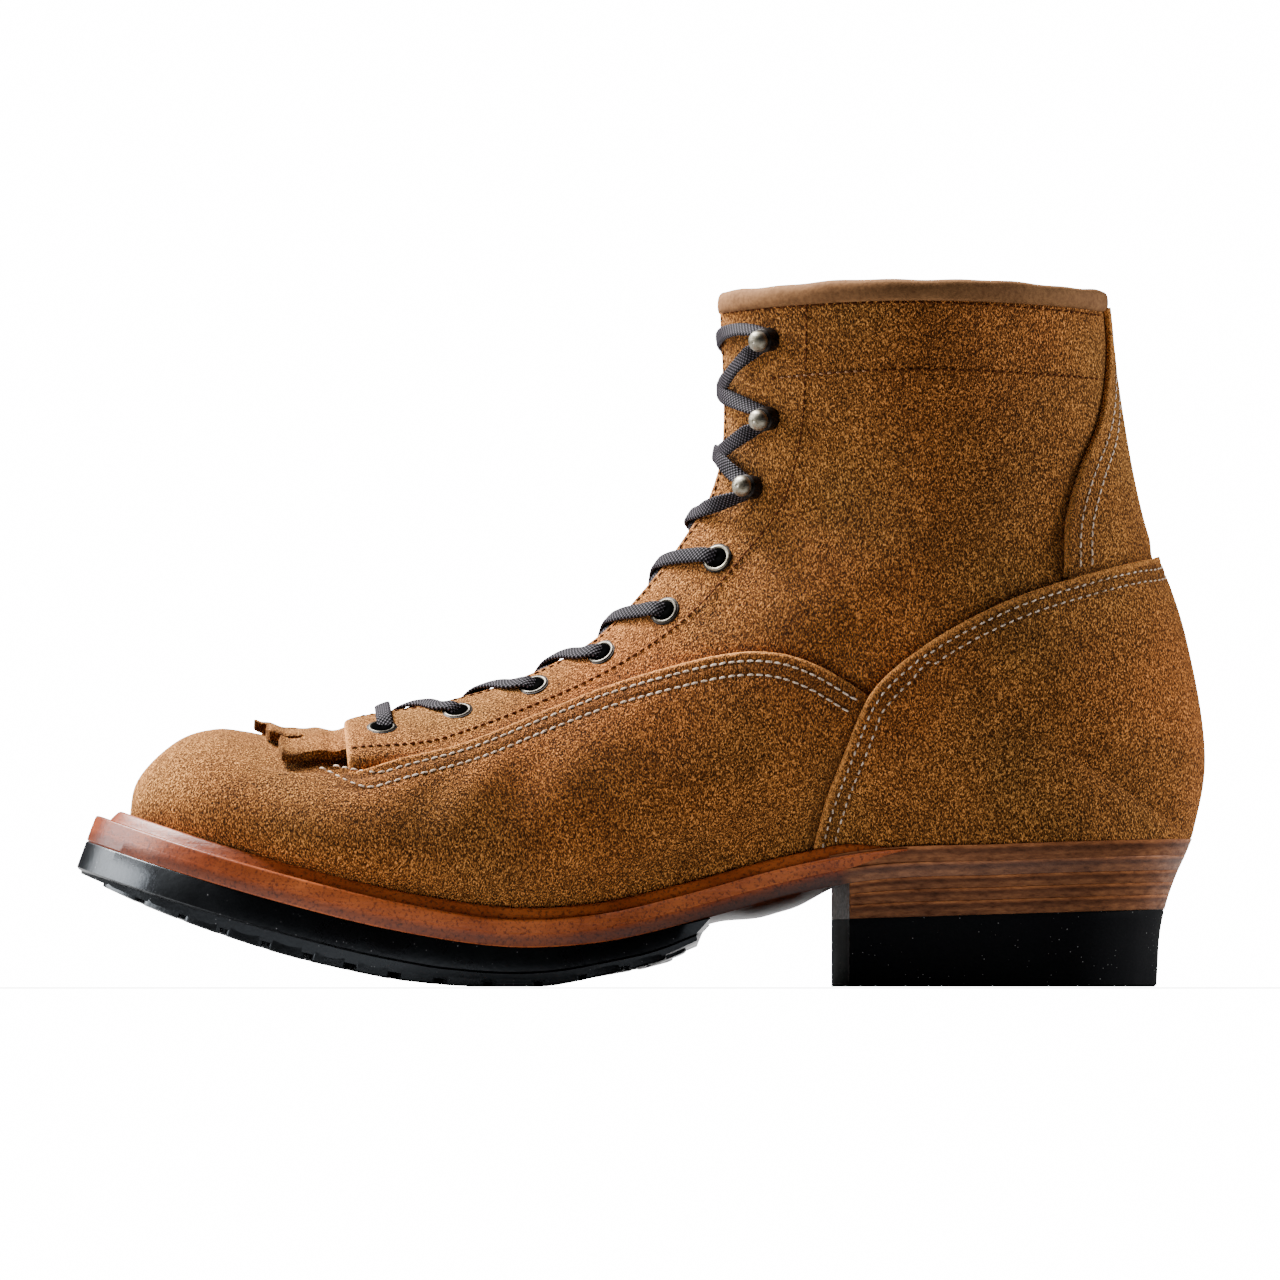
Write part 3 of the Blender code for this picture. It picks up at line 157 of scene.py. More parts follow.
LAST_ROWS = (
    ("toe tip", -136.8, 43.9, -7.0, -151.0, 0, 7.0, -7.0, 0.60, 0.60, 0.45, 0.12),
    ("toe front", -135.2, 54.6, -6.6, -143.5, 0, 22.5, 10.0, 0.66, 0.62, 0.45, 0.12),
    ("toe shoulder", -125.5, 64.6, -6.0, -133.0, 0, 32.0, 21.5, 0.70, 0.60, 0.45, 0.12),
    ("toe top", -115.5, 67.9, -5.0, -119.0, 0, 38.5, 31.0, 0.72, 0.56, 0.45, 0.12),
    ("toe back", -105.0, 67.0, -4.0, -104.0, 0, 42.5, 38.0, 0.74, 0.54, 0.45, 0.12),
    ("throat front", -86.0, 67.8, -2.5, -85.0, 0, 44.8, 43.8, 0.76, 0.52, 0.45, 0.12),
    ("ball", -57.0, 77.6, -1.0, -50.0, 0, 42.5, 46.0, 0.76, 0.48, 0.45, 0.12),
    ("waist", -36.0, 84.2, 0.0, -17.0, 0, 36.0, 40.0, 0.70, 0.46, 0.45, 0.12),
    ("instep", -14.3, 95.3, 0.0, 20.0, 0, 31.5, 35.0, 0.64, 0.46, 0.45, 0.12),
    ("high instep", 2.0, 112.0, 0.0, 61.0, 0, 32.0, 34.0, 0.58, 0.46, 0.45, 0.12),
    ("short heel", 12.7, 127.0, 0.0, 112.0, 0, 33.5, 34.5, 0.56, 0.48, 0.40, 0.55),
    ("heel corner", 16.5, 133.4, 0.0, 147.7, 40.4, 34.0, 34.8, 0.54, 0.50, 0.0, 0.56),
    ("heel bulge", 19.4, 141.0, 0.0, 151.4, 62.0, 35.0, 35.6, 0.54, 0.50, 0.0, 0.60),
    ("counter top", 21.0, 149.3, 0.0, 146.2, 95.0, 34.6, 35.0, 0.52, 0.52, 0.0, 0.56),
    ("ankle", 21.6, 160.0, 0.0, 135.6, 127.5, 35.2, 35.6, 0.50, 0.54, 0.0, 0.52),
    ("shaft", 21.4, 173.0, 0.0, 129.4, 160.0, 38.0, 38.4, 0.50, 0.56, 0.0, 0.52),
    ("collar", 21.0, 184.6, 0.0, 126.6, 185.2, 40.0, 40.4, 0.50, 0.58, 0.0, 0.54),
)

# Side-view edges of the overlays, and the places of the metal and of the plain seams.
VAMP_EDGE = np.array([
    # x, z
    (-84.0, 55.8), (-76.7, 57.0), (-64.0, 60.7), (-49.1, 64.9), (-24.6, 74.6), (-10.9, 80.2),
    (9.4, 86.8), (20.7, 89.6), (32.0, 90.9), (40.5, 90.0), (49.0, 87.0), (62.0, 79.2), (70.0, 73.5),
])
COUNTER_EDGE = np.array([
    # x, z
    (47.2, 36.0), (50.5, 51.0), (56.0, 64.7), (62.8, 79.7), (76.4, 92.0), (98.3, 104.3),
    (125.6, 113.3), (147.0, 118.0),
])
BACKSTAY_EDGE = np.array([
    # x, z
    (114.4, 103.0), (115.1, 110.6), (115.8, 127.8), (119.5, 141.0), (124.8, 154.5), (126.7, 166.3),
    (127.0, 178.3), (126.1, 187.0),
])
EYELETS = np.array([
    # x, z
    (-69.6, 68.4), (-49.7, 75.4), (-28.9, 82.4), (-10.6, 91.2), (6.8, 102.4), (21.0, 116.8),
])
HOOKS = np.array([
    # x, z
    (30.8, 136.0), (35.4, 154.8), (35.4, 175.3),
])
EYESTAY_SEAM = np.array([
    # x, z
    (-78.3, 61.4), (-66.0, 64.2), (-49.0, 69.2), (-30.0, 76.4), (-8.0, 86.6), (12.0, 100.0),
    (29.0, 118.5), (38.5, 131.0), (43.5, 148.0), (45.0, 165.0), (45.3, 183.5),
])
SHAFT_SEAM = np.array([
    # x, z
    (35.5, 165.4), (60.0, 166.3), (95.0, 166.0), (125.0, 165.4),
])


def smooth(x, table_x, table_y):
    """Cubic through a table's rows; a row's slope is the mean of both sides, weighted by distance."""
    step = np.diff(table_x)
    rise = np.diff(table_y) / step
    slope = np.concatenate([rise[:1], (step[:-1] * rise[1:] + step[1:] * rise[:-1])
                            / (step[:-1] + step[1:]), rise[-1:]])
    x = np.clip(np.asarray(x, dtype=float), table_x[0], table_x[-1])
    row = np.clip(np.searchsorted(table_x, x, side="right") - 1, 0, len(step) - 1)
    h = step[row]
    s = (x - table_x[row]) / h
    start = table_y[row] * (1 + 2 * s) * (1 - s) ** 2 + slope[row] * h * s * (1 - s) ** 2
    end = table_y[row + 1] * s * s * (3 - 2 * s) + slope[row + 1] * h * s * s * (s - 1)
    return start + end


def ramp(x, low, high):
    """0 below low, 1 above high, an S between."""
    s = np.clip((np.asarray(x, dtype=float) - low) / (high - low), 0.0, 1.0)
    return s * s * (3 - 2 * s)


def unit(vector):
    return vector / np.maximum(np.linalg.norm(vector, axis=-1, keepdims=True), 1e-12)


def run_along(points):
    """Length of a line of points from its start up to each of them."""
    return np.concatenate([[0], np.cumsum(np.linalg.norm(np.diff(points, axis=0), axis=1))])


def spread(start, end, share):
    """Grid of values between two ends of each row."""
    return start[:, None] * (1 - share[None]) + end[:, None] * share[None]


# The sole's plan and side view.

def plan_angle(x):
    """The plan's own parameter: 0 at the heel end, pi at the toe, so both ends come out round."""
    return np.arccos(np.clip(1 - 2 * (HEEL_END - np.asarray(x, dtype=float)) / SOLE_LENGTH, -1, 1))


def plan_x(angle):
    return HEEL_END - SOLE_LENGTH * (1 - np.cos(angle)) / 2


PLAN_ANGLE = plan_angle(HEEL_END - PLAN[:, 0])


def plan_edge(angle, side):
    """The sole's outer edge on one side."""
    half = smooth(angle, PLAN_ANGLE, PLAN[:, 1] if side == MEDIAL else PLAN[:, 2])
    return np.stack([plan_x(angle), side * half], -1)


def plan(angle, side, inset, inset_side=None):
    """The sole's edge moved in square to itself; inset_side is the move across the boot where it differs."""
    d = 1e-3
    ahead, behind = [plan_edge(np.clip(angle + step, 0, math.pi), side) for step in (d, -d)]
    along = unit(ahead - behind)
    inward = -side * np.stack([along[..., 1], -along[..., 0]], -1)
    angle = np.asarray(angle, dtype=float)
    inward = np.where((angle <= 0)[..., None], (-1.0, 0.0), inward)
    inward = np.where((angle >= math.pi)[..., None], (1.0, 0.0), inward)
    across = inset if inset_side is None else inset_side
    return plan_edge(angle, side) + inward * np.stack(np.broadcast_arrays(inset, across), -1)


def wall_inset(x):
    return smooth(x, *WALL_INSET.T)


def sole_point(x, y, n):
    """Point n above the midsole's underside; the waist's lateral edge hangs lower than its medial one."""
    line_x, line_z = SOLE_LINE.T
    slope = smooth(x + 0.5, line_x, line_z) - smooth(x - 0.5, line_x, line_z)
    cosine = 1 / np.sqrt(1 + slope * slope)
    roll = WAIST_ROLL * ramp(x, -20, 25) * ramp(-x, -60, -12) * np.clip((y + 27) / 60, 0, 1)
    z = smooth(x, line_x, line_z) + n * cosine - roll
    return np.stack(np.broadcast_arrays(x - n * slope * cosine, y, z), -1)


# The last.

LAST = {name: np.array([row[i + 1] for row in LAST_ROWS], dtype=float)
        for i, name in enumerate(LAST_COLUMNS)}
NAMES = [row[0] for row in LAST_ROWS]
CORNER = NAMES.index("heel corner")
TOE_TOP = NAMES.index("toe top")
REACH = (np.hypot(np.diff(LAST["front_x"]), np.diff(LAST["front_z"]))
         + np.hypot(np.diff(LAST["foot_x"]),
                    np.diff(LAST["foot_z"]) * (np.arange(len(NAMES) - 1) >= CORNER)))
ROW_U = np.concatenate([[0.0], np.cumsum(np.sqrt(REACH))])
CORNER_U, END_U = ROW_U[CORNER], ROW_U[-1]
FOOT_ANGLE = np.append(plan_angle(LAST["foot_x"][:CORNER]), 0.0)


def section(u, name):
    """A column of the last's table at u."""
    return smooth(u, ROW_U, LAST[name])


def seat_point(u, side, out=0.0):
    """Where a section stands on the welt's seat, moved out across the seat."""
    angle = np.clip(smooth(np.minimum(u, CORNER_U), ROW_U[:CORNER + 1], FOOT_ANGLE), 0, math.pi)
    edge = plan(angle, side, wall_inset(plan_x(angle)) - out)
    return sole_point(edge[..., 0], edge[..., 1], SEAT + GAP)


def foot_point(u, side):
    """Where a section ends: on the welt's seat as far as the heel corner, then on the back seam."""
    up = np.maximum(u, CORNER_U)
    back = np.stack([smooth(up, ROW_U[CORNER:], LAST["foot_x"][CORNER:]), 0 * up,
                     smooth(up, ROW_U[CORNER:], LAST["foot_z"][CORNER:])], -1)
    return np.where((u <= CORNER_U)[..., None], seat_point(u, side), back)


def outline_slope(u, side):
    """How fast the half width of the foot's outline falls towards the heel."""
    d = 0.02
    near = np.clip(u, d, CORNER_U - d)
    step = seat_point(near + d, side) - seat_point(near - d, side)
    return -side * step[..., 1] / np.maximum(step[..., 0], 1e-3)


def bezier(s, a, b, c, d):
    return a * (1 - s) ** 3 + 3 * b * s * (1 - s) ** 2 + 3 * c * s * s * (1 - s) + d * s ** 3


def section_run(u, v, side):
    """Share of the way from front to foot, and half width: two Bezier arcs that meet where it is widest."""
    ridge = side * section(u, "ridge_y")
    wide = section(u, "medial" if side == MEDIAL else "lateral")
    widest = section(u, "widest")
    end = foot_point(u, side)
    foot = side * end[..., 1]
    swell = foot + TOE_SWELL * ramp(u, 0, ROW_U[TOE_TOP])
    free = ramp(u, ROW_U[TOE_TOP] - 2.0, ROW_U[TOE_TOP + 2])
    wide = np.clip(wide, foot, swell) * (1 - free) + wide * free
    tuck = section(u, "foot_tuck") * (1 - widest)
    full = section(u, "foot_round") * (wide - foot)
    stand = np.clip(tuck * (end[..., 0] - section(u, "front_x")) * outline_slope(u, side),
                    -0.1 * (wide - foot), full)
    round_heel = ramp(u, ROW_U[CORNER - 1], CORNER_U)
    stand = stand * (1 - round_heel) + full * round_heel
    s = np.clip(2 * v, 0, 1)
    run_front = bezier(s, 0, 0, 0.5 * widest, widest)
    half_front = bezier(s, ridge, ridge + section(u, "front_round") * (wide - ridge), wide, wide)
    s = np.clip(2 * v - 1, 0, 1)
    run_foot = bezier(s, widest, widest + 0.5 * (1 - widest), 1 - tuck, 1)
    half_foot = bezier(s, wide, wide, foot + stand, foot)
    return np.where(v <= 0.5, run_front, run_foot), np.where(v <= 0.5, half_front, half_foot)


def bare_last(u, v, side):
    """The upper's outer face: each section runs from its front end to its foot."""
    run, half = section_run(u, v, side)
    foot = foot_point(u, side)
    x = section(u, "front_x") * (1 - run) + foot[..., 0] * run
    z = section(u, "front_z") * (1 - run) + foot[..., 2] * run
    z = z + COLLAR_RISE * 4 * run * (1 - run) * ramp(u, ROW_U[-3], END_U)
    return np.stack([x, side * half, z], -1)


def last_steps(u, v, side):
    """Change of the last's point for one step of u and for one step of v."""
    d = 2e-3
    near_u = np.clip(u, 0.25, END_U - d)
    near_v = np.clip(v, d, 1 - d)
    along = bare_last(near_u + d, near_v, side) - bare_last(near_u - d, near_v, side)
    down = bare_last(near_u, near_v + d, side) - bare_last(near_u, near_v - d, side)
    return along / (2 * d), down / (2 * d)


def out_of_last(u, v, side):
    """Unit normal of the last, pointing out: level with the seat at the foot and in the boot's middle
    plane at the ridge and the back seam."""
    along, down = last_steps(u, v, side)
    normal = unit(side * np.cross(along, down))
    middle = (v <= 0) | ((v >= 1) & (u >= CORNER_U))
    normal = unit(normal * np.where(middle[..., None], (1.0, 0.0, 1.0), (1.0, 1.0, 1.0)))
    across_seat = unit(seat_point(u, side, 1.0) - seat_point(u, side))
    at_foot = (ramp(v, 0.86, 1.0) * (1 - ramp(u, CORNER_U, CORNER_U + 1.0)))[..., None]
    at_foot = np.where((u <= 0)[..., None], 1.0, at_foot)
    return unit(normal * (1 - at_foot) + across_seat * at_foot)


def last(u, v, side, lift=0.0):
    """The upper's outer face, lift millimetres out."""
    u, v, lift = np.broadcast_arrays(np.asarray(u, dtype=float), v, lift)
    return bare_last(u, v, side) + lift[..., None] * out_of_last(u, v, side)


def signed_last(u, w, lift=0.0):
    """The last at signed v: the medial side where it is negative."""
    medial, lateral = [last(u, np.abs(w), side, lift) for side in SIDES]
    return np.where((w < 0)[..., None], medial, lateral)


DENSE_U = np.linspace(0.02, END_U, 900)
DENSE_V = np.linspace(0, 1, 400)


def side_to_last(points):
    """(u, v) on the medial side for points of the side view: their section first, then their place on it."""
    front = np.stack([section(DENSE_U, "front_x"), section(DENSE_U, "front_z")], -1)
    reach = foot_point(DENSE_U, MEDIAL)[:, ::2] - front
    found = []
    for point in points:
        off = point - front
        cross = reach[:, 0] * off[:, 1] - reach[:, 1] * off[:, 0]
        turn = np.nonzero((cross[:-1] > 0) != (cross[1:] > 0))[0]
        share = np.einsum("ij,ij->i", off, reach) / np.einsum("ij,ij->i", reach, reach)
        turn = turn[np.argmin(np.abs(share[turn] - 0.5))]
        s = cross[turn] / (cross[turn] - cross[turn + 1])
        u = DENSE_U[turn] * (1 - s) + DENSE_U[turn + 1] * s
        run = section_run(np.full_like(DENSE_V, u), DENSE_V, MEDIAL)[0]
        found.append((u, np.interp(share[turn] * (1 - s) + share[turn + 1] * s, run, DENSE_V)))
    return np.array(found)


def edge_path(points, steps=120):
    """A smooth curve through side-view points, as (u, v) on the last."""
    at = run_along(points)
    t = np.linspace(0, at[-1], steps)
    return side_to_last(np.stack([smooth(t, at, points[:, 0]), smooth(t, at, points[:, 1])], -1))


def edge_curve(points):
    """The same curve as v for each u."""
    uv = edge_path(points)
    uv = uv[np.argsort(uv[:, 0])]
    return lambda u: np.interp(u, uv[:, 0], uv[:, 1])


def front_to_u(x):
    """u of the section whose front end is at x, along the throat."""
    return float(np.interp(x, section(DENSE_U[60:600], "front_x"), DENSE_U[60:600]))


def half_curve(half):
    """v, for each u, at which the section is a given half width from the axis, mean of both sides."""
    u = np.linspace(ROW_U[2], END_U, 160)
    grid_u, grid_v = np.meshgrid(u, DENSE_V[:200], indexing="ij")
    width = (section_run(grid_u, grid_v, MEDIAL)[1] + section_run(grid_u, grid_v, LATERAL)[1]) / 2
    v = DENSE_V[np.argmax(width >= half, axis=1)]
    v = np.convolve(np.pad(v, 3, mode="edge"), np.ones(7) / 7, mode="valid")
    return lambda at: np.interp(at, u, v)


SLOT_FRONT_U, SLOT_BACK_U = front_to_u(SLOT_FRONT), front_to_u(SLOT_BACK)
LIFT_END_U = front_to_u(EYESTAY_LIFT_END)
vamp_edge = edge_curve(VAMP_EDGE)
counter_edge = edge_curve(COUNTER_EDGE)
backstay_edge = edge_curve(BACKSTAY_EDGE)
throat_line = half_curve(THROAT_HALF)
tongue_line = half_curve(TONGUE_HALF)
SLOT_V = float(vamp_edge(SLOT_BACK_U))
COUNTER_U = DENSE_U[counter_edge(DENSE_U) < 0.985][[0, -1]]


def eyestay_lift(u, v):
    """The eyestay's front end rides up over the kiltie."""
    along = 1 - ramp(u, SLOT_BACK_U, LIFT_END_U)
    return EYESTAY_LIFT * along * (1 - ramp(v, 0.84 * SLOT_V, 1.04 * SLOT_V)) * (u >= SLOT_BACK_U - 1e-6)


def kiltie_bed(u, v):
    """The vamp dips under the kiltie, more so towards the slot, but not at the slot's lower corners."""
    dip = (2.2 * ramp(u, front_to_u(-108.0), front_to_u(-92.0))
           + 2.6 * ramp(u, front_to_u(-89.0), SLOT_BACK_U))
    return GAP + OVERLAY - dip * (1 - ramp(v, 0.90 * SLOT_V, 1.02 * SLOT_V))


def distance_to(points, line):
    """Distance of each point of a grid from a line of points."""
    flat = points.reshape(-1, 3)
    square = (flat ** 2).sum(1)[:, None] + (line ** 2).sum(1)[None] - 2 * flat @ line.T
    return np.sqrt(np.maximum(square.min(1), 0)).reshape(points.shape[:-1])


def offset(u, v, side, mm):
    """A line on the last moved sideways along the surface, square to itself, in a few small steps."""
    steps = 4
    for _ in range(steps):
        along, down = last_steps(u, v, side)
        run = np.gradient(bare_last(u, v, side), axis=0)
        across = unit(np.cross(unit(side * np.cross(along, down)), run)) * side
        a, b, c = [(p * q).sum(-1) for p, q in ((along, along), (along, down), (down, down))]
        p, q = (across * along).sum(-1), (across * down).sum(-1)
        det = a * c - b * b
        u = u + mm / steps * (c * p - b * q) / det
        v = v + mm / steps * (a * q - b * p) / det
    return u, v


# Meshes.

def put(name, verts, faces, finish, nodes, slot, fields=None, sharp=None):
    """Piece from points in millimetres and quads. Points that meet are joined, faces turned out; fields are
    numbers kept at the points for the finish to read; edges that turn more than sharp degrees stay crisp."""
    mesh = bpy.data.meshes.new(name)
    mesh.from_pydata(((verts - ORIGIN) * MM).tolist(), [], faces.tolist())
    for field, values in (fields or {}).items():
        kept = mesh.attributes.new(field, "FLOAT", "POINT")
        kept.data.foreach_set("value", np.asarray(values, dtype=np.float32).ravel())
    work = bmesh.new()
    work.from_mesh(mesh)
    bmesh.ops.delete(work, geom=[p for p in work.verts if not p.link_faces], context="VERTS")
    bmesh.ops.remove_doubles(work, verts=work.verts, dist=2e-6)
    bmesh.ops.dissolve_degenerate(work, edges=work.edges, dist=1e-7)
    bmesh.ops.recalc_face_normals(work, faces=work.faces)
    work.to_mesh(mesh)
    work.free()
    mesh.polygons.foreach_set("use_smooth", np.ones(len(mesh.polygons), dtype=bool))
    if sharp:
        mesh.set_sharp_from_angle(angle=math.radians(sharp))
    mesh.materials.append(finish)
    piece = bpy.data.objects.new(name, mesh)
    bpy.context.scene.collection.objects.link(piece)
    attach(piece, "root")
    if nodes:
        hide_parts(*nodes)


def skin(under, over, keep=None, loop=False):
    """Closed leather between two grids: a quad on each kept cell of both faces, and a wall wherever a kept
    cell has no kept neighbour. loop joins the last column to the first."""
    rows, cols = under.shape[:2]
    keep = np.ones((rows - 1, cols if loop else cols - 1), dtype=bool) if keep is None else keep
    index = np.arange(rows * cols).reshape(rows, cols)
    left = index[:, :keep.shape[1]]
    right = np.roll(index, -1, axis=1)[:, :keep.shape[1]]
    quads = np.stack([left[:-1], left[1:], right[1:], right[:-1]], -1)
    above = np.pad(keep, ((1, 0), (0, 0)))[:-1]
    below = np.pad(keep, ((0, 1), (0, 0)))[1:]
    before = np.roll(keep, 1, 1) if loop else np.pad(keep, ((0, 0), (1, 0)))[:, :-1]
    after = np.roll(keep, -1, 1) if loop else np.pad(keep, ((0, 0), (0, 1)))[:, 1:]
    count = rows * cols
    faces = [quads[keep], quads[keep][:, ::-1] + count]
    for other, a, b in ((above, 3, 0), (below, 1, 2), (before, 0, 1), (after, 2, 3)):
        rim = quads[keep & ~other]
        faces.append(np.stack([rim[:, b], rim[:, a], rim[:, a] + count, rim[:, b] + count], -1))
    return np.concatenate([under.reshape(-1, 3), over.reshape(-1, 3)]), np.concatenate(faces)


def tube(rings, loop=False):
    """Closed skin over a row of closed sections: quads between neighbours, and a fan to the middle at each
    end unless the row itself closes into a loop."""
    rows, cols = rings.shape[:2]
    index = np.arange(rows * cols).reshape(rows, cols)
    along = np.roll(index, -1, 1)
    following = np.roll(index, -1, 0)[:rows if loop else rows - 1]
    across = np.roll(along, -1, 0)[:len(following)]
    verts = rings.reshape(-1, 3)
    faces = np.stack([index[:len(following)], along[:len(following)], across, following], -1).reshape(-1, 4)
    if loop:
        return verts, faces
    count = len(verts)
    middles = np.repeat(np.stack([rings[0].mean(0), rings[-1].mean(0)]), 2, 0)
    fans = [np.stack([along[row], index[row], np.full(cols, count + k), np.full(cols, count + k + 1)], -1)
            for row, k in ((0, 0), (-1, 2))]
    fans[1] = fans[1][:, [1, 0, 2, 3]]
    return np.concatenate([verts, middles]), np.concatenate([faces, *fans])


def joined(meshes):
    """Several sets of points and quads as one."""
    starts = np.cumsum([0, *[len(verts) for verts, _ in meshes[:-1]]])
    return (np.concatenate([verts for verts, _ in meshes]),
            np.concatenate([faces + start for (_, faces), start in zip(meshes, starts)]))


def rounded(profile, radius, steps=4):
    """Closed profile with every corner replaced by a short quadratic arc. The last two axes are the points
    and their numbers."""
    s = np.linspace(0, 1, steps)[:, None]
    ends = []
    for turn in (1, -1):
        way = np.roll(profile, turn, -2) - profile
        far = np.maximum(np.linalg.norm(way, axis=-1, keepdims=True), 1e-6)
        ends.append((profile + way * np.minimum(radius / far, 0.45))[..., None, :])
    arcs = ends[0] * (1 - s) ** 2 + 2 * profile[..., None, :] * s * (1 - s) + ends[1] * s ** 2
    return arcs.reshape(*profile.shape[:-2], -1, profile.shape[-1])


def along_path(points, count):
    """Points evenly spaced along a smooth curve through a row of points of any number of columns; only the
    first three columns count for the spacing."""
    at = run_along(points[:, :3])
    dense = np.linspace(0, at[-1], 12 * count)
    curve = np.stack([smooth(dense, at, column) for column in points.T], -1)
    run = run_along(curve[:, :3])
    even = np.linspace(0, run[-1], count)
    return np.stack([np.interp(even, run, column) for column in curve.T], -1), even


# Finishes.

def feed(tree, socket, value):
    """Link a socket to another one, or set it to a constant."""
    if isinstance(value, bpy.types.NodeSocket):
        tree.links.new(value, socket)
    else:
        socket.default_value = value


def add(tree, kind, inputs, **settings):
    """A node with its settings made and its sockets fed."""
    made = tree.nodes.new(kind)
    for key, value in settings.items():
        setattr(made, key, value)
    for key, value in inputs.items():
        feed(tree, made.inputs[key], value)
    return made


def noise(tree, vector, scale, detail, rough):
    return add(tree, "ShaderNodeTexNoise", {"Vector": vector, "Scale": scale, "Detail": detail,
                                            "Roughness": rough}).outputs["Fac"]


def shades(tree, factor, stops):
    """Colour ramp from (place, colour) pairs."""
    made = add(tree, "ShaderNodeValToRGB", {"Fac": factor})
    elements = made.color_ramp.elements
    while len(elements) < len(stops):
        elements.new(1.0)
    for element, (place, colour) in zip(elements, stops):
        element.position = place
        element.color = (*colour, 1.0)
    return made.outputs["Color"]


def blend(tree, factor, first, second, mode="MIX"):
    """Mix of two colours."""
    first, second = [value if isinstance(value, bpy.types.NodeSocket) else (*value, 1.0)
                     for value in (first, second)]
    return add(tree, "ShaderNodeMix", {0: factor, 6: first, 7: second}, data_type="RGBA",
               blend_type=mode).outputs[2]


def tint(tree, colour, factor, stops, amount=1.0):
    """Colour times the tones of a ramp."""
    return blend(tree, amount, colour, shades(tree, factor, stops), "MULTIPLY")


def sums(tree, operation, first, second):
    return add(tree, "ShaderNodeMath", {0: first, 1: second}, operation=operation).outputs[0]


def remap(tree, value, low, high, to_low=0.0, to_high=1.0):
    return add(tree, "ShaderNodeMapRange", {"Value": value, "From Min": low, "From Max": high,
                                            "To Min": to_low, "To Max": to_high}).outputs["Result"]


def field(tree, name):
    return add(tree, "ShaderNodeAttribute", {}, attribute_name=name).outputs["Fac"]


def stretched(tree, place, stretch, turn=(0.0, 0.0, 0.0)):
    return add(tree, "ShaderNodeMapping", {"Vector": place, "Rotation": turn,
                                           "Scale": stretch}).outputs["Vector"]


def boot_length(tree, place):
    return add(tree, "ShaderNodeSeparateXYZ", {"Vector": place}).outputs["X"]


def finish(name, kind, tones, **sockets):
    """Material whose kind(tree, object coordinates, *tones) gives colour, roughness, height and the height's
    depth; the rest is set on the shader's own sockets."""
    made = bpy.data.materials.new(name)
    made.use_nodes = True
    tree = made.node_tree
    shader = tree.nodes["Principled BSDF"]
    place = tree.nodes.new("ShaderNodeTexCoord").outputs["Object"]
    colour, roughness, height, depth = kind(tree, place, *tones)
    bump = add(tree, "ShaderNodeBump", {"Height": height, "Strength": 1.0, "Distance": depth})
    feed(tree, shader.inputs["Base Color"], colour)
    feed(tree, shader.inputs["Roughness"], roughness)
    feed(tree, shader.inputs["Normal"], bump.outputs["Normal"])
    for socket, value in sockets.items():
        shader.inputs[socket.replace("_", " ")].default_value = value
    return made


def suede(tree, place, light, mid, dark, lining):
    """Rough-out leather: nap of slanted grains from dark to light with pale tufts, slow mottling towards red
    and olive, paler raw edges, some dirt and much painted shade in the seams, and a plain lining inside."""
    slanted = stretched(tree, place, (1.0, 1.0, 0.6), (0.0, 0.6, 0.0))
    grain = noise(tree, slanted, 2600.0, 1.6, 0.5)
    warm = tuple(0.74 * m + 0.26 * l for m, l in zip(mid, light))
    colour = shades(tree, grain, ((0.37, dark), (0.50, mid), (0.585, warm), (0.66, light)))
    tufts = noise(tree, slanted, 1500.0, 1.0, 0.5)
    colour = blend(tree, remap(tree, tufts, 0.60, 0.70, 0.0, 0.55), colour, light)
    slow = noise(tree, place, 60.0, 3.0, 0.6)
    colour = tint(tree, colour, slow, ((0.30, (0.74, 0.72, 0.70)), (0.62, (1.06, 1.06, 1.06))))
    drift = noise(tree, place, 17.0, 2.0, 0.5)
    colour = tint(tree, colour, drift, ((0.34, (1.08, 0.94, 0.86)), (0.66, (0.94, 1.02, 1.0))))
    colour = blend(tree, field(tree, "edge"), colour, shades(tree, grain, ((0.32, mid), (0.56, light))))
    # Painted shade: the dirt_and_shade field darkens the nap along seams, beside overlapping edges and on the
    # kiltie's underside.
    colour = blend(tree, field(tree, "dirt_and_shade"), colour, dark)
    colour = blend(tree, field(tree, "inside"), colour, lining)
    return colour, 0.93, grain, 0.0009


def smooth_leather(tree, place, light, dark, grain_scale, gloss_low, gloss_high):
    """Finished leather: slow cloudiness, fine pores and uneven gloss."""
    cloud = noise(tree, place, 70.0, 4.0, 0.6)
    colour = shades(tree, cloud, ((0.33, dark), (0.66, light)))
    pores = noise(tree, place, grain_scale, 3.0, 0.6)
    deep = tuple(0.5 * c for c in dark)
    colour = blend(tree, 0.35, colour, shades(tree, pores, ((0.35, deep), (0.6, light))))
    return colour, remap(tree, cloud, 0.3, 0.7, gloss_low, gloss_high), pores, 0.00012


def burnished_leather(tree, place, light, dark, line):
    """Sole leather, inked and polished: cloudy, with faint streaks along the edge and dark specks, and darker
    towards the toe."""
    streaks = noise(tree, stretched(tree, place, (14.0, 14.0, 900.0)), 1.0, 4.0, 0.65)
    cloud = noise(tree, place, 45.0, 4.0, 0.6)
    colour = shades(tree, cloud, ((0.32, dark), (0.66, light)))
    colour = blend(tree, 0.15, colour, shades(tree, streaks, ((0.36, line), (0.52, dark), (0.64, light))))
    toe = remap(tree, boot_length(tree, place), -0.15, -0.08)
    colour = tint(tree, colour, toe, ((0.1, (0.56, 0.50, 0.56)), (0.9, (1.0, 1.0, 1.0))))
    speck = noise(tree, place, 1100.0, 3.0, 0.6)
    colour = blend(tree, remap(tree, speck, 0.50, 0.68, 0.0, 0.75), colour, line)
    return colour, remap(tree, cloud, 0.3, 0.7, 0.34, 0.5), sums(tree, "ADD", streaks, speck), 0.00008


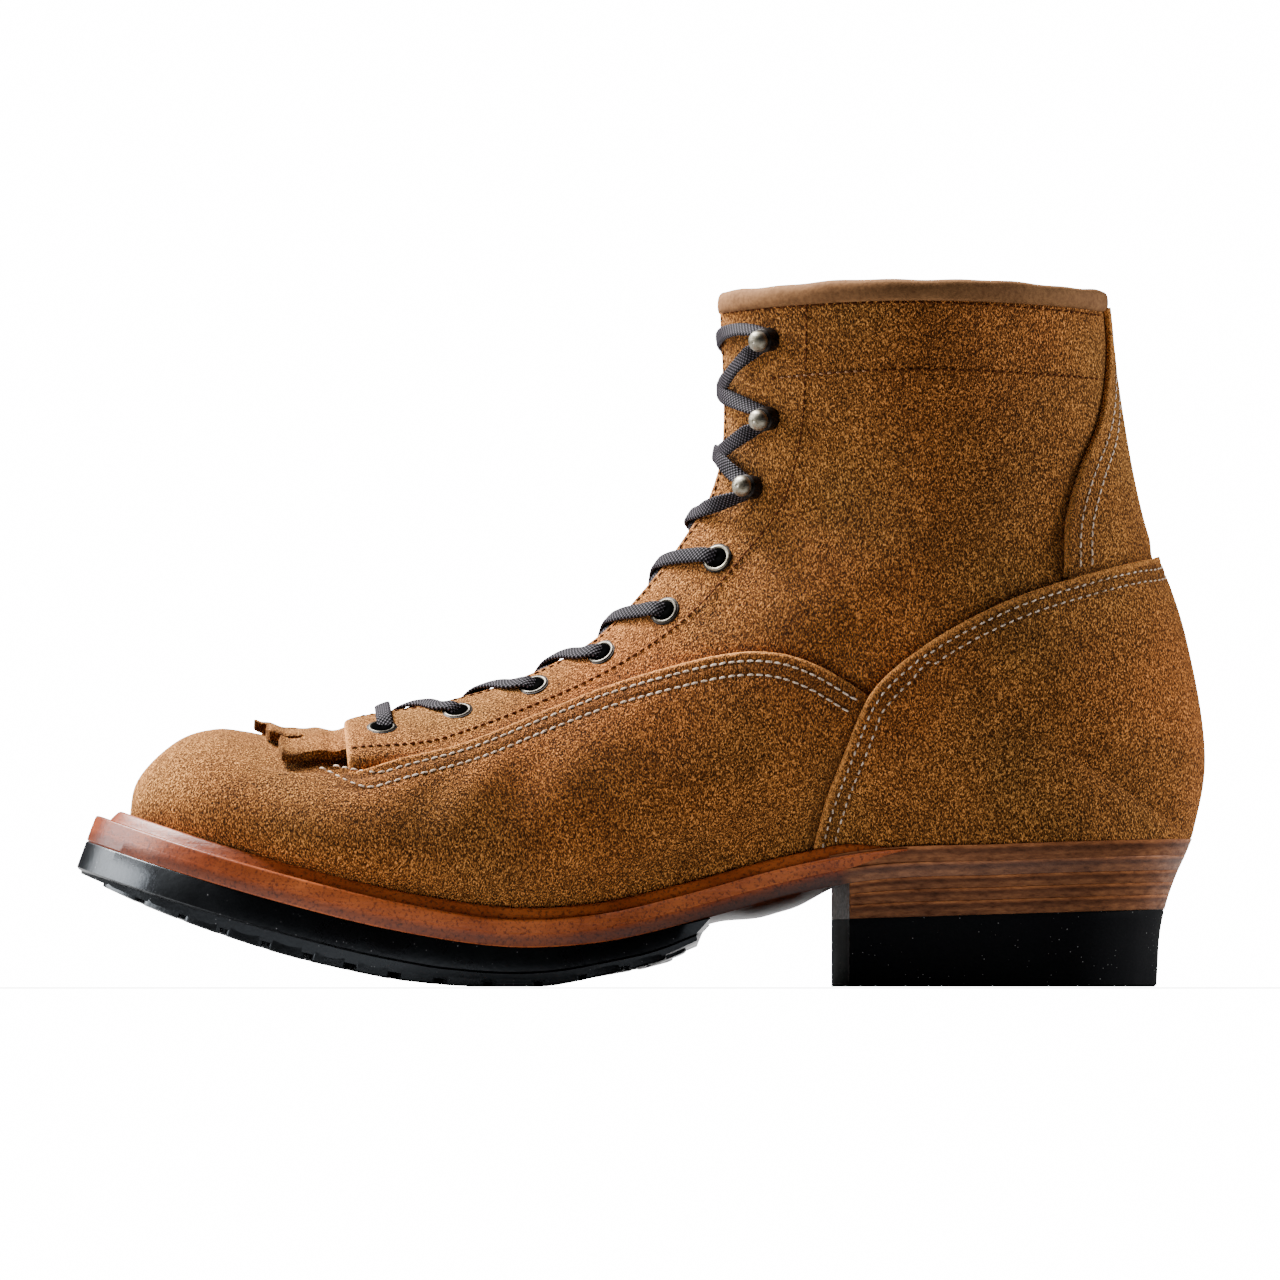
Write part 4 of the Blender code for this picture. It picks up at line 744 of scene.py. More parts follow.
def stacked_leather(tree, place, light, dark, line):
    """Edge of the heel's leather layers: each has a painted highlight as a pale line along its top, painted
    shade just below it, brown further down and a dark joint at its foot, with dry fibres in level streaks and
    darker stains."""
    streaks = noise(tree, stretched(tree, place, (260.0, 260.0, 900.0)), 1.0, 4.0, 0.7)
    cloud = noise(tree, stretched(tree, place, (1.0, 1.0, 2.6)), 55.0, 4.0, 0.65)
    colour = shades(tree, streaks, ((0.28, line), (0.45, dark), (0.68, light)))
    # Tones by height in each layer: the pale top line and the dark band below it are painted highlight and
    # painted shade on the layers' edges; the darkest tone at layer 0 is the joint, and the heel's breast, set
    # to 0, gets it as painted shade.
    colour = tint(tree, colour, field(tree, "layer"), (
        (0.0, (0.10, 0.09, 0.08)), (0.02, (0.95, 0.95, 0.95)), (0.35, (1.1, 1.1, 1.1)),
        (0.58, (0.50, 0.46, 0.46)), (0.72, (0.48, 0.42, 0.40)), (0.88, (1.55, 1.4, 1.2))), 0.85)
    colour = tint(tree, colour, cloud, ((0.30, (0.6, 0.54, 0.52)), (0.68, (1.1, 1.06, 1.0))))
    return colour, remap(tree, streaks, 0.3, 0.7, 0.62, 0.42), streaks, 0.0001


def midsole_leather(tree, place):
    """Burnished like the welt in front, darker in its lower layers, with painted shade on the lower layers in
    the waist, and plain like the heel's stack behind the heel's breast."""
    colour, gloss, height, depth = burnished_leather(tree, place, *WELT_TONES)
    colour_rear, gloss_rear, _, _ = stacked_leather(tree, place, *STACK_TONES)
    along, layer = boot_length(tree, place), field(tree, "layer")
    behind = remap(tree, along, (BREAST - 2.0) * MM, (BREAST + 1.0) * MM)
    mixed = add(tree, "ShaderNodeMix", {0: behind, 2: gloss, 3: gloss_rear}).outputs[0]
    colour = tint(tree, colour, layer, ((0.0, (1.4, 1.3, 1.2)), (0.12, (0.55, 0.5, 0.5)),
                                        (0.55, (0.48, 0.44, 0.44)), (0.95, (1.05, 1.0, 1.0))), 0.9)
    # Painted shade: in the waist the lower layers, which face down, are darkened almost to black.
    colour = tint(tree, colour, layer, ((0.0, (0.08, 0.07, 0.07)), (0.9, (0.6, 0.52, 0.5))),
                  remap(tree, along, -0.02, 0.02))
    return blend(tree, behind, colour, colour_rear), mixed, height, depth


def black_rubber(tree, place, tone, dust, gloss_low, gloss_high, dusty):
    """Moulded rubber: almost black, slow gloss changes, pale dust specks and a fine orange-peel skin."""
    cloud = noise(tree, place, 40.0, 4.0, 0.6)
    colour = shades(tree, cloud, ((0.3, tuple(0.6 * c for c in tone)), (0.7, tone)))
    cells = add(tree, "ShaderNodeTexVoronoi", {"Vector": place, "Scale": 620.0}, feature="F1")
    specks = remap(tree, cells.outputs["Distance"], 0.13, 0.06)
    patch = remap(tree, noise(tree, place, 160.0, 2.0, 0.5), 0.48, 0.62, 0.0, dusty)
    colour = blend(tree, sums(tree, "MULTIPLY", specks, patch), colour, dust)
    peel = noise(tree, place, 700.0, 3.0, 0.6)
    return colour, remap(tree, cloud, 0.32, 0.68, gloss_low, gloss_high), peel, 0.00006


def braid(tree, place, light, mid, dark):
    """Flat waxed braid: pale yarns in a lattice, the product of sines in the lace's own length and width."""
    first, second = [sums(tree, "SINE", sums(tree, "MULTIPLY", field(tree, way), 5.2), 0.0)
                     for way in ("along", "across")]
    weave = remap(tree, sums(tree, "MULTIPLY", first, second), -1.0, 1.0)
    lint = noise(tree, place, 1800.0, 2.0, 0.6)
    mixed = sums(tree, "ADD", sums(tree, "MULTIPLY", weave, 0.75), sums(tree, "MULTIPLY", lint, 0.25))
    colour = shades(tree, mixed, ((0.42, dark), (0.60, mid), (0.80, light)))
    return colour, remap(tree, weave, 0.0, 1.0, 0.7, 0.48), weave, 0.00022


def worn_metal(tree, place, light, dark, gloss_low, gloss_high):
    """Plated metal, rubbed bright on top and tarnished in patches, with fine brush marks."""
    patch = noise(tree, place, 520.0, 4.0, 0.65)
    brush = noise(tree, stretched(tree, place, (300.0, 300.0, 3000.0), (0.4, 0.2, 0.0)), 1.0, 3.0, 0.6)
    colour = shades(tree, patch, ((0.34, dark), (0.58, light)))
    return colour, remap(tree, brush, 0.3, 0.7, gloss_low, gloss_high), brush, 0.00004


def thread(tree, place, light, dark):
    """Twisted thread: fine slanted strands, dirty between them."""
    strands = noise(tree, stretched(tree, place, (2600.0, 2600.0, 900.0), (0.5, 0.7, 0.3)), 1.0, 2.0, 0.5)
    dirt_and_shade = noise(tree, place, 90.0, 3.0, 0.6)
    colour = shades(tree, strands, ((0.34, dark), (0.56, light)))
    colour = tint(tree, colour, dirt_and_shade, ((0.3, (0.72, 0.66, 0.6)), (0.6, (1.0, 1.0, 1.0))))
    return colour, 0.75, strands, 0.00015


LINING_TONE = (0.30, 0.13, 0.045)
SUEDE_TONES = ((0.98, 0.405, 0.105), (0.20, 0.067, 0.0140), (0.044, 0.0132, 0.0026), LINING_TONE)
WELT_TONES = ((0.60, 0.150, 0.032), (0.31, 0.060, 0.014), (0.08, 0.015, 0.005))
STACK_TONES = ((0.35, 0.145, 0.060), (0.225, 0.088, 0.036), (0.11, 0.040, 0.016))
POLISH = {"Coat_Weight": 0.03, "Coat_Roughness": 0.4, "Specular_IOR_Level": 0.35}
ROUGH_OUT = finish("rough_out_leather", suede, SUEDE_TONES, Sheen_Weight=0.10, Sheen_Roughness=0.6,
                   Sheen_Tint=(0.9, 0.55, 0.25, 1.0), Specular_IOR_Level=0.10)
BINDING = finish("binding_leather", smooth_leather,
                 ((0.31, 0.150, 0.062), (0.18, 0.078, 0.029), 900.0, 0.75, 0.9), Specular_IOR_Level=0.12)
WELT_LEATHER = finish("welt_leather", burnished_leather, WELT_TONES, **POLISH)
STACK_LEATHER = finish("stack_leather", stacked_leather, STACK_TONES, Specular_IOR_Level=0.12)
MIDSOLE_LEATHER = finish("midsole_leather", midsole_leather, (), **POLISH)
INSOLE_LEATHER = finish("insole_leather", smooth_leather,
                        ((0.52, 0.36, 0.23), (0.40, 0.26, 0.15), 700.0, 0.6, 0.75))
SOLE_RUBBER = finish("sole_rubber", black_rubber,
                     ((0.003, 0.003, 0.0035), (0.30, 0.30, 0.31), 0.24, 0.36, 0.7),
                     Specular_IOR_Level=0.40, Specular_Tint=(0.82, 0.90, 1.0, 1.0))
HEEL_RUBBER = finish("heel_rubber_finish", black_rubber,
                     ((0.006, 0.006, 0.0075), (0.28, 0.28, 0.27), 0.75, 0.9, 1.0), Specular_IOR_Level=0.09)
LACE = finish("waxed_lace", braid, ((0.12, 0.102, 0.12), (0.010, 0.008, 0.010), (0.003, 0.0024, 0.003)),
              Specular_IOR_Level=0.08)
SILVER = finish("silver_metal", worn_metal, ((0.34, 0.31, 0.245), (0.14, 0.12, 0.085), 0.38, 0.55),
                Metallic=1.0)
ANTIQUE = finish("antique_metal", worn_metal, ((0.10, 0.088, 0.07), (0.035, 0.030, 0.024), 0.3, 0.45),
                 Metallic=1.0)
DARK_METAL = finish("dark_metal", worn_metal, ((0.035, 0.03, 0.027), (0.010, 0.008, 0.007), 0.45, 0.6),
                    Metallic=1.0)
# Painted shade: the near-black, unreflecting finish of the plugs that fill the eyelets' holes.
HOLE_SHADE = finish("painted_hole_shade", smooth_leather, ((0.002, 0.002, 0.002), (0.001, 0.001, 0.001), 900.0, 0.9, 1.0),
              Specular_IOR_Level=0.0)
PALE_THREAD = finish("pale_thread", thread, ((0.98, 0.79, 0.63), (0.44, 0.30, 0.19)), Specular_IOR_Level=0.15)
BROWN_THREAD = finish("brown_thread", thread, ((0.12, 0.035, 0.011), (0.04, 0.011, 0.004)),
                      Specular_IOR_Level=0.05)
TAN_THREAD = finish("tan_thread", thread, ((0.66, 0.36, 0.19), (0.28, 0.12, 0.05)), Specular_IOR_Level=0.1)


# The upper's leather.

CREASES = np.array([
    # x, z, slant of the line in degrees, half length, half width, height (below zero a trough)
    (64.0, 141.0, 26.0, 34.0, 13.0, -1.7), (68.0, 115.0, 26.0, 36.0, 12.0, 1.3),
    (60.0, 95.0, 32.0, 14.0, 7.0, -0.8), (44.0, 106.0, -34.0, 16.0, 5.0, 0.5),
    (92.0, 160.0, 12.0, 24.0, 9.0, 0.5), (108.0, 120.0, 40.0, 16.0, 8.0, -0.6),
    (20.0, 104.0, -40.0, 14.0, 5.0, -0.5), (-58.0, 48.0, 62.0, 12.0, 6.0, -0.6),
    (-46.0, 52.0, 60.0, 13.0, 6.0, 0.6), (-34.0, 50.0, 58.0, 14.0, 6.0, -0.6),
    (-20.0, 56.0, 52.0, 14.0, 7.0, 0.5), (8.0, 66.0, 40.0, 16.0, 8.0, -0.5),
    (104.0, 78.0, 70.0, 16.0, 8.0, -0.4), (80.0, 64.0, 60.0, 14.0, 8.0, 0.4),
    (132.0, 82.0, 80.0, 20.0, 7.0, 0.4), (-112.0, 52.0, 10.0, 18.0, 8.0, 0.3),
    (-126.0, 56.0, 30.0, 12.0, 6.0, -0.3),
])


def creases(points):
    """Soft troughs and ridges: each is a bell across a slanted line of the side view that fades along it."""
    at_x, at_z, slant, half_length, half_width, height = CREASES.T
    x, z = points[..., 0, None] - at_x, points[..., 2, None] - at_z
    slant = np.radians(slant)
    along = x * np.cos(slant) + z * np.sin(slant)
    across = z * np.cos(slant) - x * np.sin(slant)
    return (height * np.exp(-(along / half_length) ** 2 - (across / half_width) ** 2)).sum(-1)


def cut_edge(distance, radius=1.0):
    """How far a rounded cut edge lies below the leather's face: a quarter circle."""
    inner = np.clip(radius - distance, 0, radius)
    return radius - np.sqrt(radius * radius - inner * inner)


def bell(distance, width):
    return np.exp(-(distance / width) ** 2)


def along_rows(distance, rows, amount, width):
    """Sum of bells across the rows of stitches, which lie at given distances from an edge."""
    return sum(amount * bell(distance - row, width) for row in rows)


def throat_edge(u):
    """Throat edge of the eyestay; its front corner is rounded."""
    along, down = last_steps(np.array([SLOT_BACK_U]), throat_line(np.array([SLOT_BACK_U])), MEDIAL)
    t = np.clip((u - SLOT_BACK_U) * np.linalg.norm(along) / THROAT_CORNER, 0, 1)
    return throat_line(u) + THROAT_CORNER / np.linalg.norm(down) * (1 - np.sqrt(1 - (1 - t) ** 2))


def stay_edge(u):
    """The backstay's edge, kept off the back seam."""
    return np.minimum(backstay_edge(u), 0.995)


def both_sides(make):
    """Grid of points over both sides: up the medial side from its last column, then down the lateral one."""
    return np.concatenate([make(MEDIAL)[:, ::-1], make(LATERAL)], 1)


def mirrored(values):
    return np.concatenate([values[:, ::-1], values], 1)


def leather(name, node, u, v, inner, outer, fields, keep_side=None, front=None):
    """Panel over both sides of the last between two lifts. The sides are joined at the ridge where front says
    so, and at the back seam above the heel corner. fields hold numbers of the outer face."""
    grid_u = np.repeat(u[:, None], v.shape[1], 1)
    under, over = [both_sides(lambda side: last(grid_u, v, side, lift)) for lift in (inner, outer)]
    cells = (len(u) - 1, v.shape[1] - 1)
    keep_side = np.ones(cells, dtype=bool) if keep_side is None else keep_side
    front = np.zeros(cells[0], dtype=bool) if front is None else front
    back = (u[:-1] + u[1:]) / 2 > CORNER_U
    keep = np.concatenate([keep_side[:, ::-1], front[:, None], keep_side, back[:, None]], 1)
    verts, faces = skin(under, over, keep, loop=True)
    whole = {key: np.concatenate([0 * mirrored(value).ravel() + (key == "edge"), mirrored(value).ravel()])
             for key, value in fields.items()}
    whole["inside"] = np.repeat([float(name == "quarters"), 0.0], under.shape[0] * under.shape[1])
    put(name, verts, faces, ROUGH_OUT, (node,), "rough_out_leather", whole)


def line_points(u, v):
    return last(u, v, MEDIAL)


def face_grid(u, v):
    """u for every point of a grid of v, and the medial points of the last there."""
    grid_u = np.repeat(u[:, None], v.shape[1], 1)
    return grid_u, last(grid_u, v, MEDIAL)


def near(face, edge, ends, count):
    """Distance of a grid of points from an edge, v as a function of u, between two ends."""
    u = np.linspace(*ends, count)
    return distance_to(face, line_points(u, edge(u)))


def rear_crossing(first, second, low, high):
    """u at which two edges meet."""
    u = np.linspace(low, high, 900)
    return float(u[np.argmin(np.abs(first(u) - second(u)))])


VAMP_END_U = rear_crossing(vamp_edge, counter_edge, ROW_U[NAMES.index("waist")], CORNER_U)
BACKSTAY_U = rear_crossing(backstay_edge, counter_edge, CORNER_U, COUNTER_U[1])


def make_quarters():
    """Quarters, eyestays and shaft: the last's outer face from the throat to the seat, WALL thick."""
    u = np.concatenate([SLOT_BACK_U + np.array([0, 0.05, 0.12, 0.2, 0.3, 0.42]),
                        np.linspace(SLOT_BACK_U + 0.6, END_U, 170)])
    share = np.concatenate([[0, 0.002, 0.005, 0.009, 0.014, 0.02], np.linspace(0.03, 1, 64)])
    v = spread(throat_edge(u), np.ones_like(u), share)
    grid_u, face = face_grid(u, v)
    front_v = np.linspace(throat_edge(u[:1])[0], 0.6, 120)
    distance = np.minimum(distance_to(face, line_points(np.full(120, SLOT_BACK_U), front_v)),
                          near(face, throat_edge, (SLOT_BACK_U, END_U), 700))
    front = distance_to(face, line_points(np.full(200, SLOT_BACK_U), np.linspace(0, 1.02 * SLOT_V, 200)))
    seams = np.minimum.reduce([near(face, counter_edge, COUNTER_U, 300),
                               near(face, vamp_edge, (SLOT_BACK_U, VAMP_END_U), 500),
                               near(face, stay_edge, (BACKSTAY_U, END_U), 300)])
    lift = eyestay_lift(grid_u, v) + creases(face) * ramp(distance, 2, 12)
    outer = lift - np.maximum(cut_edge(distance), cut_edge(front, 1.3))
    # Paler along the throat's raw edge; at the eyestay's front end the wider band is partly the raw edge's
    # own colour and partly a painted highlight on that edge's wall.
    pale = np.maximum(0.75 * bell(distance, 0.7), 0.9 * bell(front, 1.1))
    # Painted shadow: the quarters darken within a few millimetres of the vamp's, counter's and backstay's
    # edges that lie over them.
    leather("quarters", "upper", u, v, lift - WALL, outer, {"edge": pale, "dirt_and_shade": 0.55 * bell(seams, 1.8)})


SLOT_REAR_U = SLOT_BACK_U + 0.5
VAMP_TOP_SHARE = np.concatenate([[0, 0.004, 0.009, 0.015], np.linspace(0.022, 0.15, 24),
                                 np.linspace(0.17, 1, 40)])


def make_vamp():
    """Toe and sides of the vamp, laid on the last: its upper edge is cut square and sewn in two rows."""
    u = np.concatenate([np.linspace(0, SLOT_FRONT_U, 74), np.linspace(SLOT_FRONT_U, SLOT_REAR_U, 14)[1:],
                        np.linspace(SLOT_REAR_U, VAMP_END_U, 110)[1:]])
    edge_v = np.where(u <= SLOT_BACK_U, SLOT_V, vamp_edge(u))
    top_share = np.linspace(0, 1, 26)
    v = np.concatenate([spread(0 * edge_v, edge_v, top_share)[:, :-1],
                        spread(edge_v, np.ones_like(u), VAMP_TOP_SHARE)], 1)
    v = np.where((u <= 0)[:, None], 1.0, v)
    grid_u, face = face_grid(u, v)
    distance = near(face, vamp_edge, (SLOT_REAR_U, VAMP_END_U), 800)
    near_counter = near(face, counter_edge, COUNTER_U, 300)
    sink = np.where(v > counter_edge(grid_u), 1.6, 1.3 * (1 - ramp(near_counter, 0, 7)))
    sink = sink * ramp(grid_u, COUNTER_U[0] - 3, COUNTER_U[0] + 3)
    sewn = ramp(grid_u, SLOT_FRONT_U, SLOT_BACK_U)
    troughs = along_rows(distance, VAMP_ROWS, TROUGH_DEPTH, TROUGH_WIDTH) * sewn
    above = v <= edge_v[:, None]
    lift = eyestay_lift(grid_u, v) * ~above + creases(face) * ramp(distance, 3, 14)
    outer = lift + np.where(above & (grid_u <= SLOT_REAR_U), kiltie_bed(grid_u, v),
                            GAP + OVERLAY - cut_edge(distance) - troughs - sink)
    inner = np.minimum(np.where(grid_u < SLOT_REAR_U, -WALL, lift + 0.2), outer - 0.4)
    # Darker along the rows of stitches and between them (painted shade in the seam, with some dirt), and a
    # painted shadow beside the counter's edge.
    dirt_and_shade = (along_rows(distance, VAMP_ROWS, 0.45, ROW_SHADE_WIDTH) + 0.30 * bell(distance - 4.6, 1.7)) * sewn
    dirt_and_shade = np.maximum(dirt_and_shade, 0.7 * bell(near_counter, 2.0))
    mid = (u[:-1] + u[1:]) / 2
    keep = np.ones((len(u) - 1, v.shape[1] - 1), dtype=bool)
    keep[mid > SLOT_REAR_U, :len(top_share) - 1] = False
    leather("vamp_leather", "vamp", u, v, inner, outer, {"edge": 0.8 * bell(distance, 0.75), "dirt_and_shade": dirt_and_shade},
            keep, mid < SLOT_REAR_U)


def make_counter():
    """Heel counter over the vamp's and the backstay's ends, sewn in two rows."""
    u = np.concatenate([np.linspace(COUNTER_U[0], CORNER_U - 0.2, 90),
                        np.linspace(CORNER_U, COUNTER_U[1], 90)])
    share = np.concatenate([[0, 0.004, 0.01, 0.018, 0.028], np.linspace(0.04, 0.26, 24),
                            np.linspace(0.29, 1, 40)])
    v = spread(counter_edge(u), np.ones_like(u), share)
    grid_u, face = face_grid(u, v)
    distance = near(face, counter_edge, COUNTER_U, 700)
    lift = creases(face) * ramp(distance, 4, 14)
    outer = (lift + GAP + OVERLAY + COUNTER_PROUD - cut_edge(distance)
             - along_rows(distance, COUNTER_ROWS, TROUGH_DEPTH, TROUGH_WIDTH))
    # Darker along the rows of stitches and between them (painted shade in the seam, with some dirt), and a
    # darker line down the back centre above the heel corner.
    dirt_and_shade = along_rows(distance, COUNTER_ROWS, 0.4, ROW_SHADE_WIDTH) + 0.25 * bell(distance - 4.1, 1.2)
    dirt_and_shade = np.maximum(dirt_and_shade, 0.5 * bell(np.abs(face[..., 1]), 0.8) * (grid_u > CORNER_U))
    leather("counter_leather", "heel_counter", u, v, np.minimum(lift + 0.2, outer - 0.5), outer,
            {"edge": bell(distance, 1.0), "dirt_and_shade": dirt_and_shade})


def make_backstay():
    """Strip up the back of the shaft, from under the counter to the binding."""
    u = np.linspace(BACKSTAY_U - 1.0, END_U, 90)
    share = np.concatenate([[0, 0.02, 0.045, 0.08], np.linspace(0.12, 1, 30)])
    v = spread(stay_edge(u), np.ones_like(u), share)
    grid_u, face = face_grid(u, v)
    distance = near(face, stay_edge, (BACKSTAY_U - 1.0, END_U), 500)
    near_counter = near(face, counter_edge, COUNTER_U, 300)
    under_counter = (v > counter_edge(grid_u)) & (grid_u < COUNTER_U[1])
    sink = np.where(under_counter, 1.7, 1.3 * (1 - ramp(near_counter, 0, 6)))
    outer = (GAP + OVERLAY - 0.5 - cut_edge(distance) - along_rows(distance, BACKSTAY_ROWS, 0.2, TROUGH_WIDTH)
             - sink)
    # Darker along the rows of stitches (painted shade in the seam, with some dirt), and a painted shadow
    # beside the counter's edge.
    dirt_and_shade = np.maximum(along_rows(distance, BACKSTAY_ROWS, 0.35, ROW_SHADE_WIDTH), 0.4 * bell(near_counter, 2.0))
    leather("backstay_leather", "backstay", u, v, np.minimum(0.2, outer - 0.3), outer,
            {"edge": 0.8 * bell(distance, 0.75), "dirt_and_shade": dirt_and_shade})


def make_binding():
    """Rolled binding: a rounded profile carried along the collar's edge from one throat edge to the other."""
    start = float(half_curve(BINDING_HALF)(np.array([END_U]))[0])
    medial = np.linspace(start, 1, 120)
    out, rise, wide = BINDING_OVERHANG, BINDING_RISE, WALL + BINDING_OVERHANG
    corners = np.array([(out - 0.5, -1.2), (out + 0.15, 0.6), (out, 0.72 * rise), (0.1, rise + 0.1),
                        (-WALL - 0.1, rise + 0.1), (-wide, 0.72 * rise), (-wide - 0.15, 0.6),
                        (-wide + 0.5, -1.2)])
    profile = rounded(corners, 1.6)
    rings = []
    for side, v in ((MEDIAL, medial), (LATERAL, medial[-2::-1])):
        u = np.full_like(v, END_U)
        base, normal = last(u, v, side), out_of_last(u, v, side)
        ripple = 0.18 * np.sin(23 * v + side) + 0.12 * np.sin(57 * v)
        points = base[:, None] + normal[:, None] * profile[None, :, :1]
        points[..., 2] += profile[None, :, 1] + ripple[:, None] * (profile[None, :, 1] > 1)
        rings.append(points)
    put("rolled_binding", *tube(np.concatenate(rings)), BINDING, ("collar_binding",), "binding_leather")


def make_tongue():
    """Plain tongue under the throat, from under the kiltie to just below the binding."""
    u = np.linspace(front_to_u(TONGUE_FRONT), END_U, 120)
    share = np.linspace(-1, 1, 41)
    w = tongue_line(u)[:, None] * share[None]
    grid_u = np.repeat(u[:, None], 41, 1)
    rear_u = front_to_u(KILTIE_REAR)
    under_kiltie = 1 - ramp(grid_u, rear_u + 4, rear_u + 13)
    top = -(WALL + 0.4 + 3.6 * under_kiltie + 1.5 * ramp(grid_u, ROW_U[-2], END_U))
    waves = 0.35 * np.sin(0.35 * grid_u + 2.0 * w / 0.2) * (1 - share[None] ** 2)
    verts, faces = skin(signed_last(grid_u, w, top - TONGUE), signed_last(grid_u, w, top + waves))
    zero = np.zeros(len(verts))
    # The whole tongue is evenly darker, a quarter of the way towards the suede's dark tone.
    put("tongue_leather", verts, faces, ROUGH_OUT, ("tongue",), "rough_out_leather",
        {"edge": zero, "dirt_and_shade": zero + 0.25, "inside": zero})


def make_kiltie():
    """Fringed flap: fingers of uneven length that curl up from the toe, each a strip of the flap's grid."""
    tip_x = np.array([-98.8, -102.0, -105.4, -103.4, -99.2])
    curl = np.array([0.9, 0.8, 0.7, 0.7, 0.9])
    half = 0.78 * SLOT_V
    edges = half * np.array([-1.0, -0.56, -0.17, 0.20, 0.58, 1.0])
    per = 11
    inner = np.linspace(0, 1, per)
    low = edges[:-1] + np.where(np.arange(5) > 0, KILTIE_GAP / 2, 0)
    high = edges[1:] - np.where(np.arange(5) < 4, KILTIE_GAP / 2, 0)
    w_tip = (low[:, None] * (1 - inner) + high[:, None] * inner).ravel()
    finger = np.repeat(np.arange(5), per)
    place = np.tile(inner, 5)
    rows = np.concatenate([np.linspace(0, 0.62, 26), np.linspace(0.65, 1, 16)])
    tip_u = np.array([front_to_u(x) for x in tip_x])
    slit_u = front_to_u(KILTIE_SLIT)
    rear_u = front_to_u(KILTIE_REAR)
    ragged = 0.10 * np.sin(9 * place + 2 * finger) + 0.16 * (np.abs(place - 0.5) * 2) ** 6
    start = tip_u[finger] + ragged
    u = np.where(rows[:, None] <= 0.4, start + (slit_u - start) * rows[:, None] / 0.4,
                 slit_u + (rear_u - slit_u) * (rows[:, None] - 0.4) / 0.6)
    w = w_tip[None] * (1.06 - 0.22 * ramp(u, slit_u - 3, SLOT_BACK_U))
    over_vamp = 1 - ramp(u, front_to_u(-86.0), SLOT_BACK_U + 0.2)
    beneath = eyestay_lift(np.maximum(u, SLOT_BACK_U), np.abs(w)) - WALL - 0.2 - KILTIE
    to_tip = np.clip((slit_u + 2.5 - u) / (slit_u + 2.5 - start), 0, 1)
    bow = curl[finger] * to_tip ** 2 + 0.3 * np.sin(3.0 * u + finger) * to_tip
    base = over_vamp * (kiltie_bed(u, np.abs(w)) + 0.2) + (1 - over_vamp) * beneath + bow
    keep = np.ones((len(rows) - 1, len(w_tip) - 1), dtype=bool)
    keep[:np.searchsorted(rows, 0.4), per - 1::per] = False
    side_gap = np.minimum(place, 1 - place) * 6.0
    tip_gap = np.linalg.norm(signed_last(u, w) - signed_last(u[:1], w[:1]), axis=-1)
    at_edge = np.where(rows[:, None] < 0.42, np.minimum(side_gap[None], tip_gap), 3.0)
    outer = base + KILTIE - cut_edge(at_edge, 0.45)
    verts, faces = skin(signed_last(u, w, base), signed_last(u, w, outer), keep)
    # Painted shadow where the kiltie runs under the eyestay (tucked), painted shade along the fingers' cut
    # edges (rim), and painted shade over the whole underside, which also darkens the cut walls from below.
    tucked = ramp(u, SLOT_BACK_U - 0.35, SLOT_BACK_U - 0.05) * ramp(np.abs(w), 0.35 * SLOT_V, 0.7 * SLOT_V)
    rim = np.maximum(0.6 * bell(at_edge, 0.4), 0.75 * tucked).ravel()
    zero = np.zeros(2 * len(rim))
    put("fringed_kiltie", verts, faces, ROUGH_OUT, ("kiltie",), "rough_out_leather",
        {"edge": zero, "dirt_and_shade": np.concatenate([0.55 + 0 * rim, rim]), "inside": zero}, 35)


# Seams.

def stitch_row(points, normals, pitch, length, width, slant=0.0):
    """Joined stitches along a line on the leather: each is a short six-sided thread, thick in the middle and
    sunk at both ends, with a little seeded slant."""
    run = run_along(points)
    count = max(int(run[-1] / pitch), 1)
    centre = (np.arange(count) + 0.5) * run[-1] / count + RNG.uniform(-0.12, 0.12, count)
    t = np.array([-1.0, -0.75, -0.3, 0.3, 0.75, 1.0])
    at = np.clip(centre[:, None] + t[None] * length / 2, 0, run[-1])
    middle, out = [np.stack([np.interp(at, run, column) for column in rows.T], -1)
                   for rows in (points, normals)]
    out = unit(out)
    heading = [np.interp(centre, run, np.gradient(column, run)) for column in points.T]
    along = unit(np.stack(heading, -1))[:, None]
    across = unit(np.cross(out, np.broadcast_to(along, out.shape)))
    lean = slant + RNG.normal(0, 0.05, count)
    middle = middle + across * (t[None] * lean[:, None])[..., None] * length / 2
    middle = middle + out * (0.30 * width * (1 - 2.6 * t ** 4))[None, :, None]
    angle = np.linspace(0, 2 * math.pi, 6, endpoint=False)
    size = width / 2 * np.sqrt(np.maximum(1.12 - t * t, 0.06))
    ring = across[:, :, None] * np.cos(angle)[:, None] + out[:, :, None] * 0.8 * np.sin(angle)[:, None]
    rings = middle[:, :, None] + ring * size[None, :, None, None]
    count, stations, sides = rings.shape[:3]
    index = np.arange(rings[..., 0].size).reshape(count, stations, sides)
    turn = np.roll(index, -1, 2)
    faces = np.stack([index[:, :-1], turn[:, :-1], turn[:, 1:], index[:, 1:]], -1).reshape(-1, 4)
    caps = np.concatenate([index[:, 0][:, [[0, 1, 2, 3], [0, 3, 4, 5]]],
                           index[:, -1][:, [[3, 2, 1, 0], [5, 4, 3, 0]]]], 1)
    return rings.reshape(-1, 3), np.concatenate([faces, caps.reshape(-1, 4)])


def on_leather(u, v, side, lift):
    return last(u, v, side, lift), out_of_last(u, v, side)


def smooth_line(u, v, count):
    """The same line with its points evenly spread and small wobbles taken out."""
    window = np.ones(15) / 15
    u, v = [np.convolve(np.pad(c, 7, mode="reflect", reflect_type="odd"), window, mode="valid")
            for c in (u, v)]
    points = np.column_stack([line_points(u, v), u, v])
    picked = np.append(np.arange(0, len(points) - 6, 9), len(points) - 1)
    even, _ = along_path(points[picked], count)
    return even[:, 3], even[:, 4]


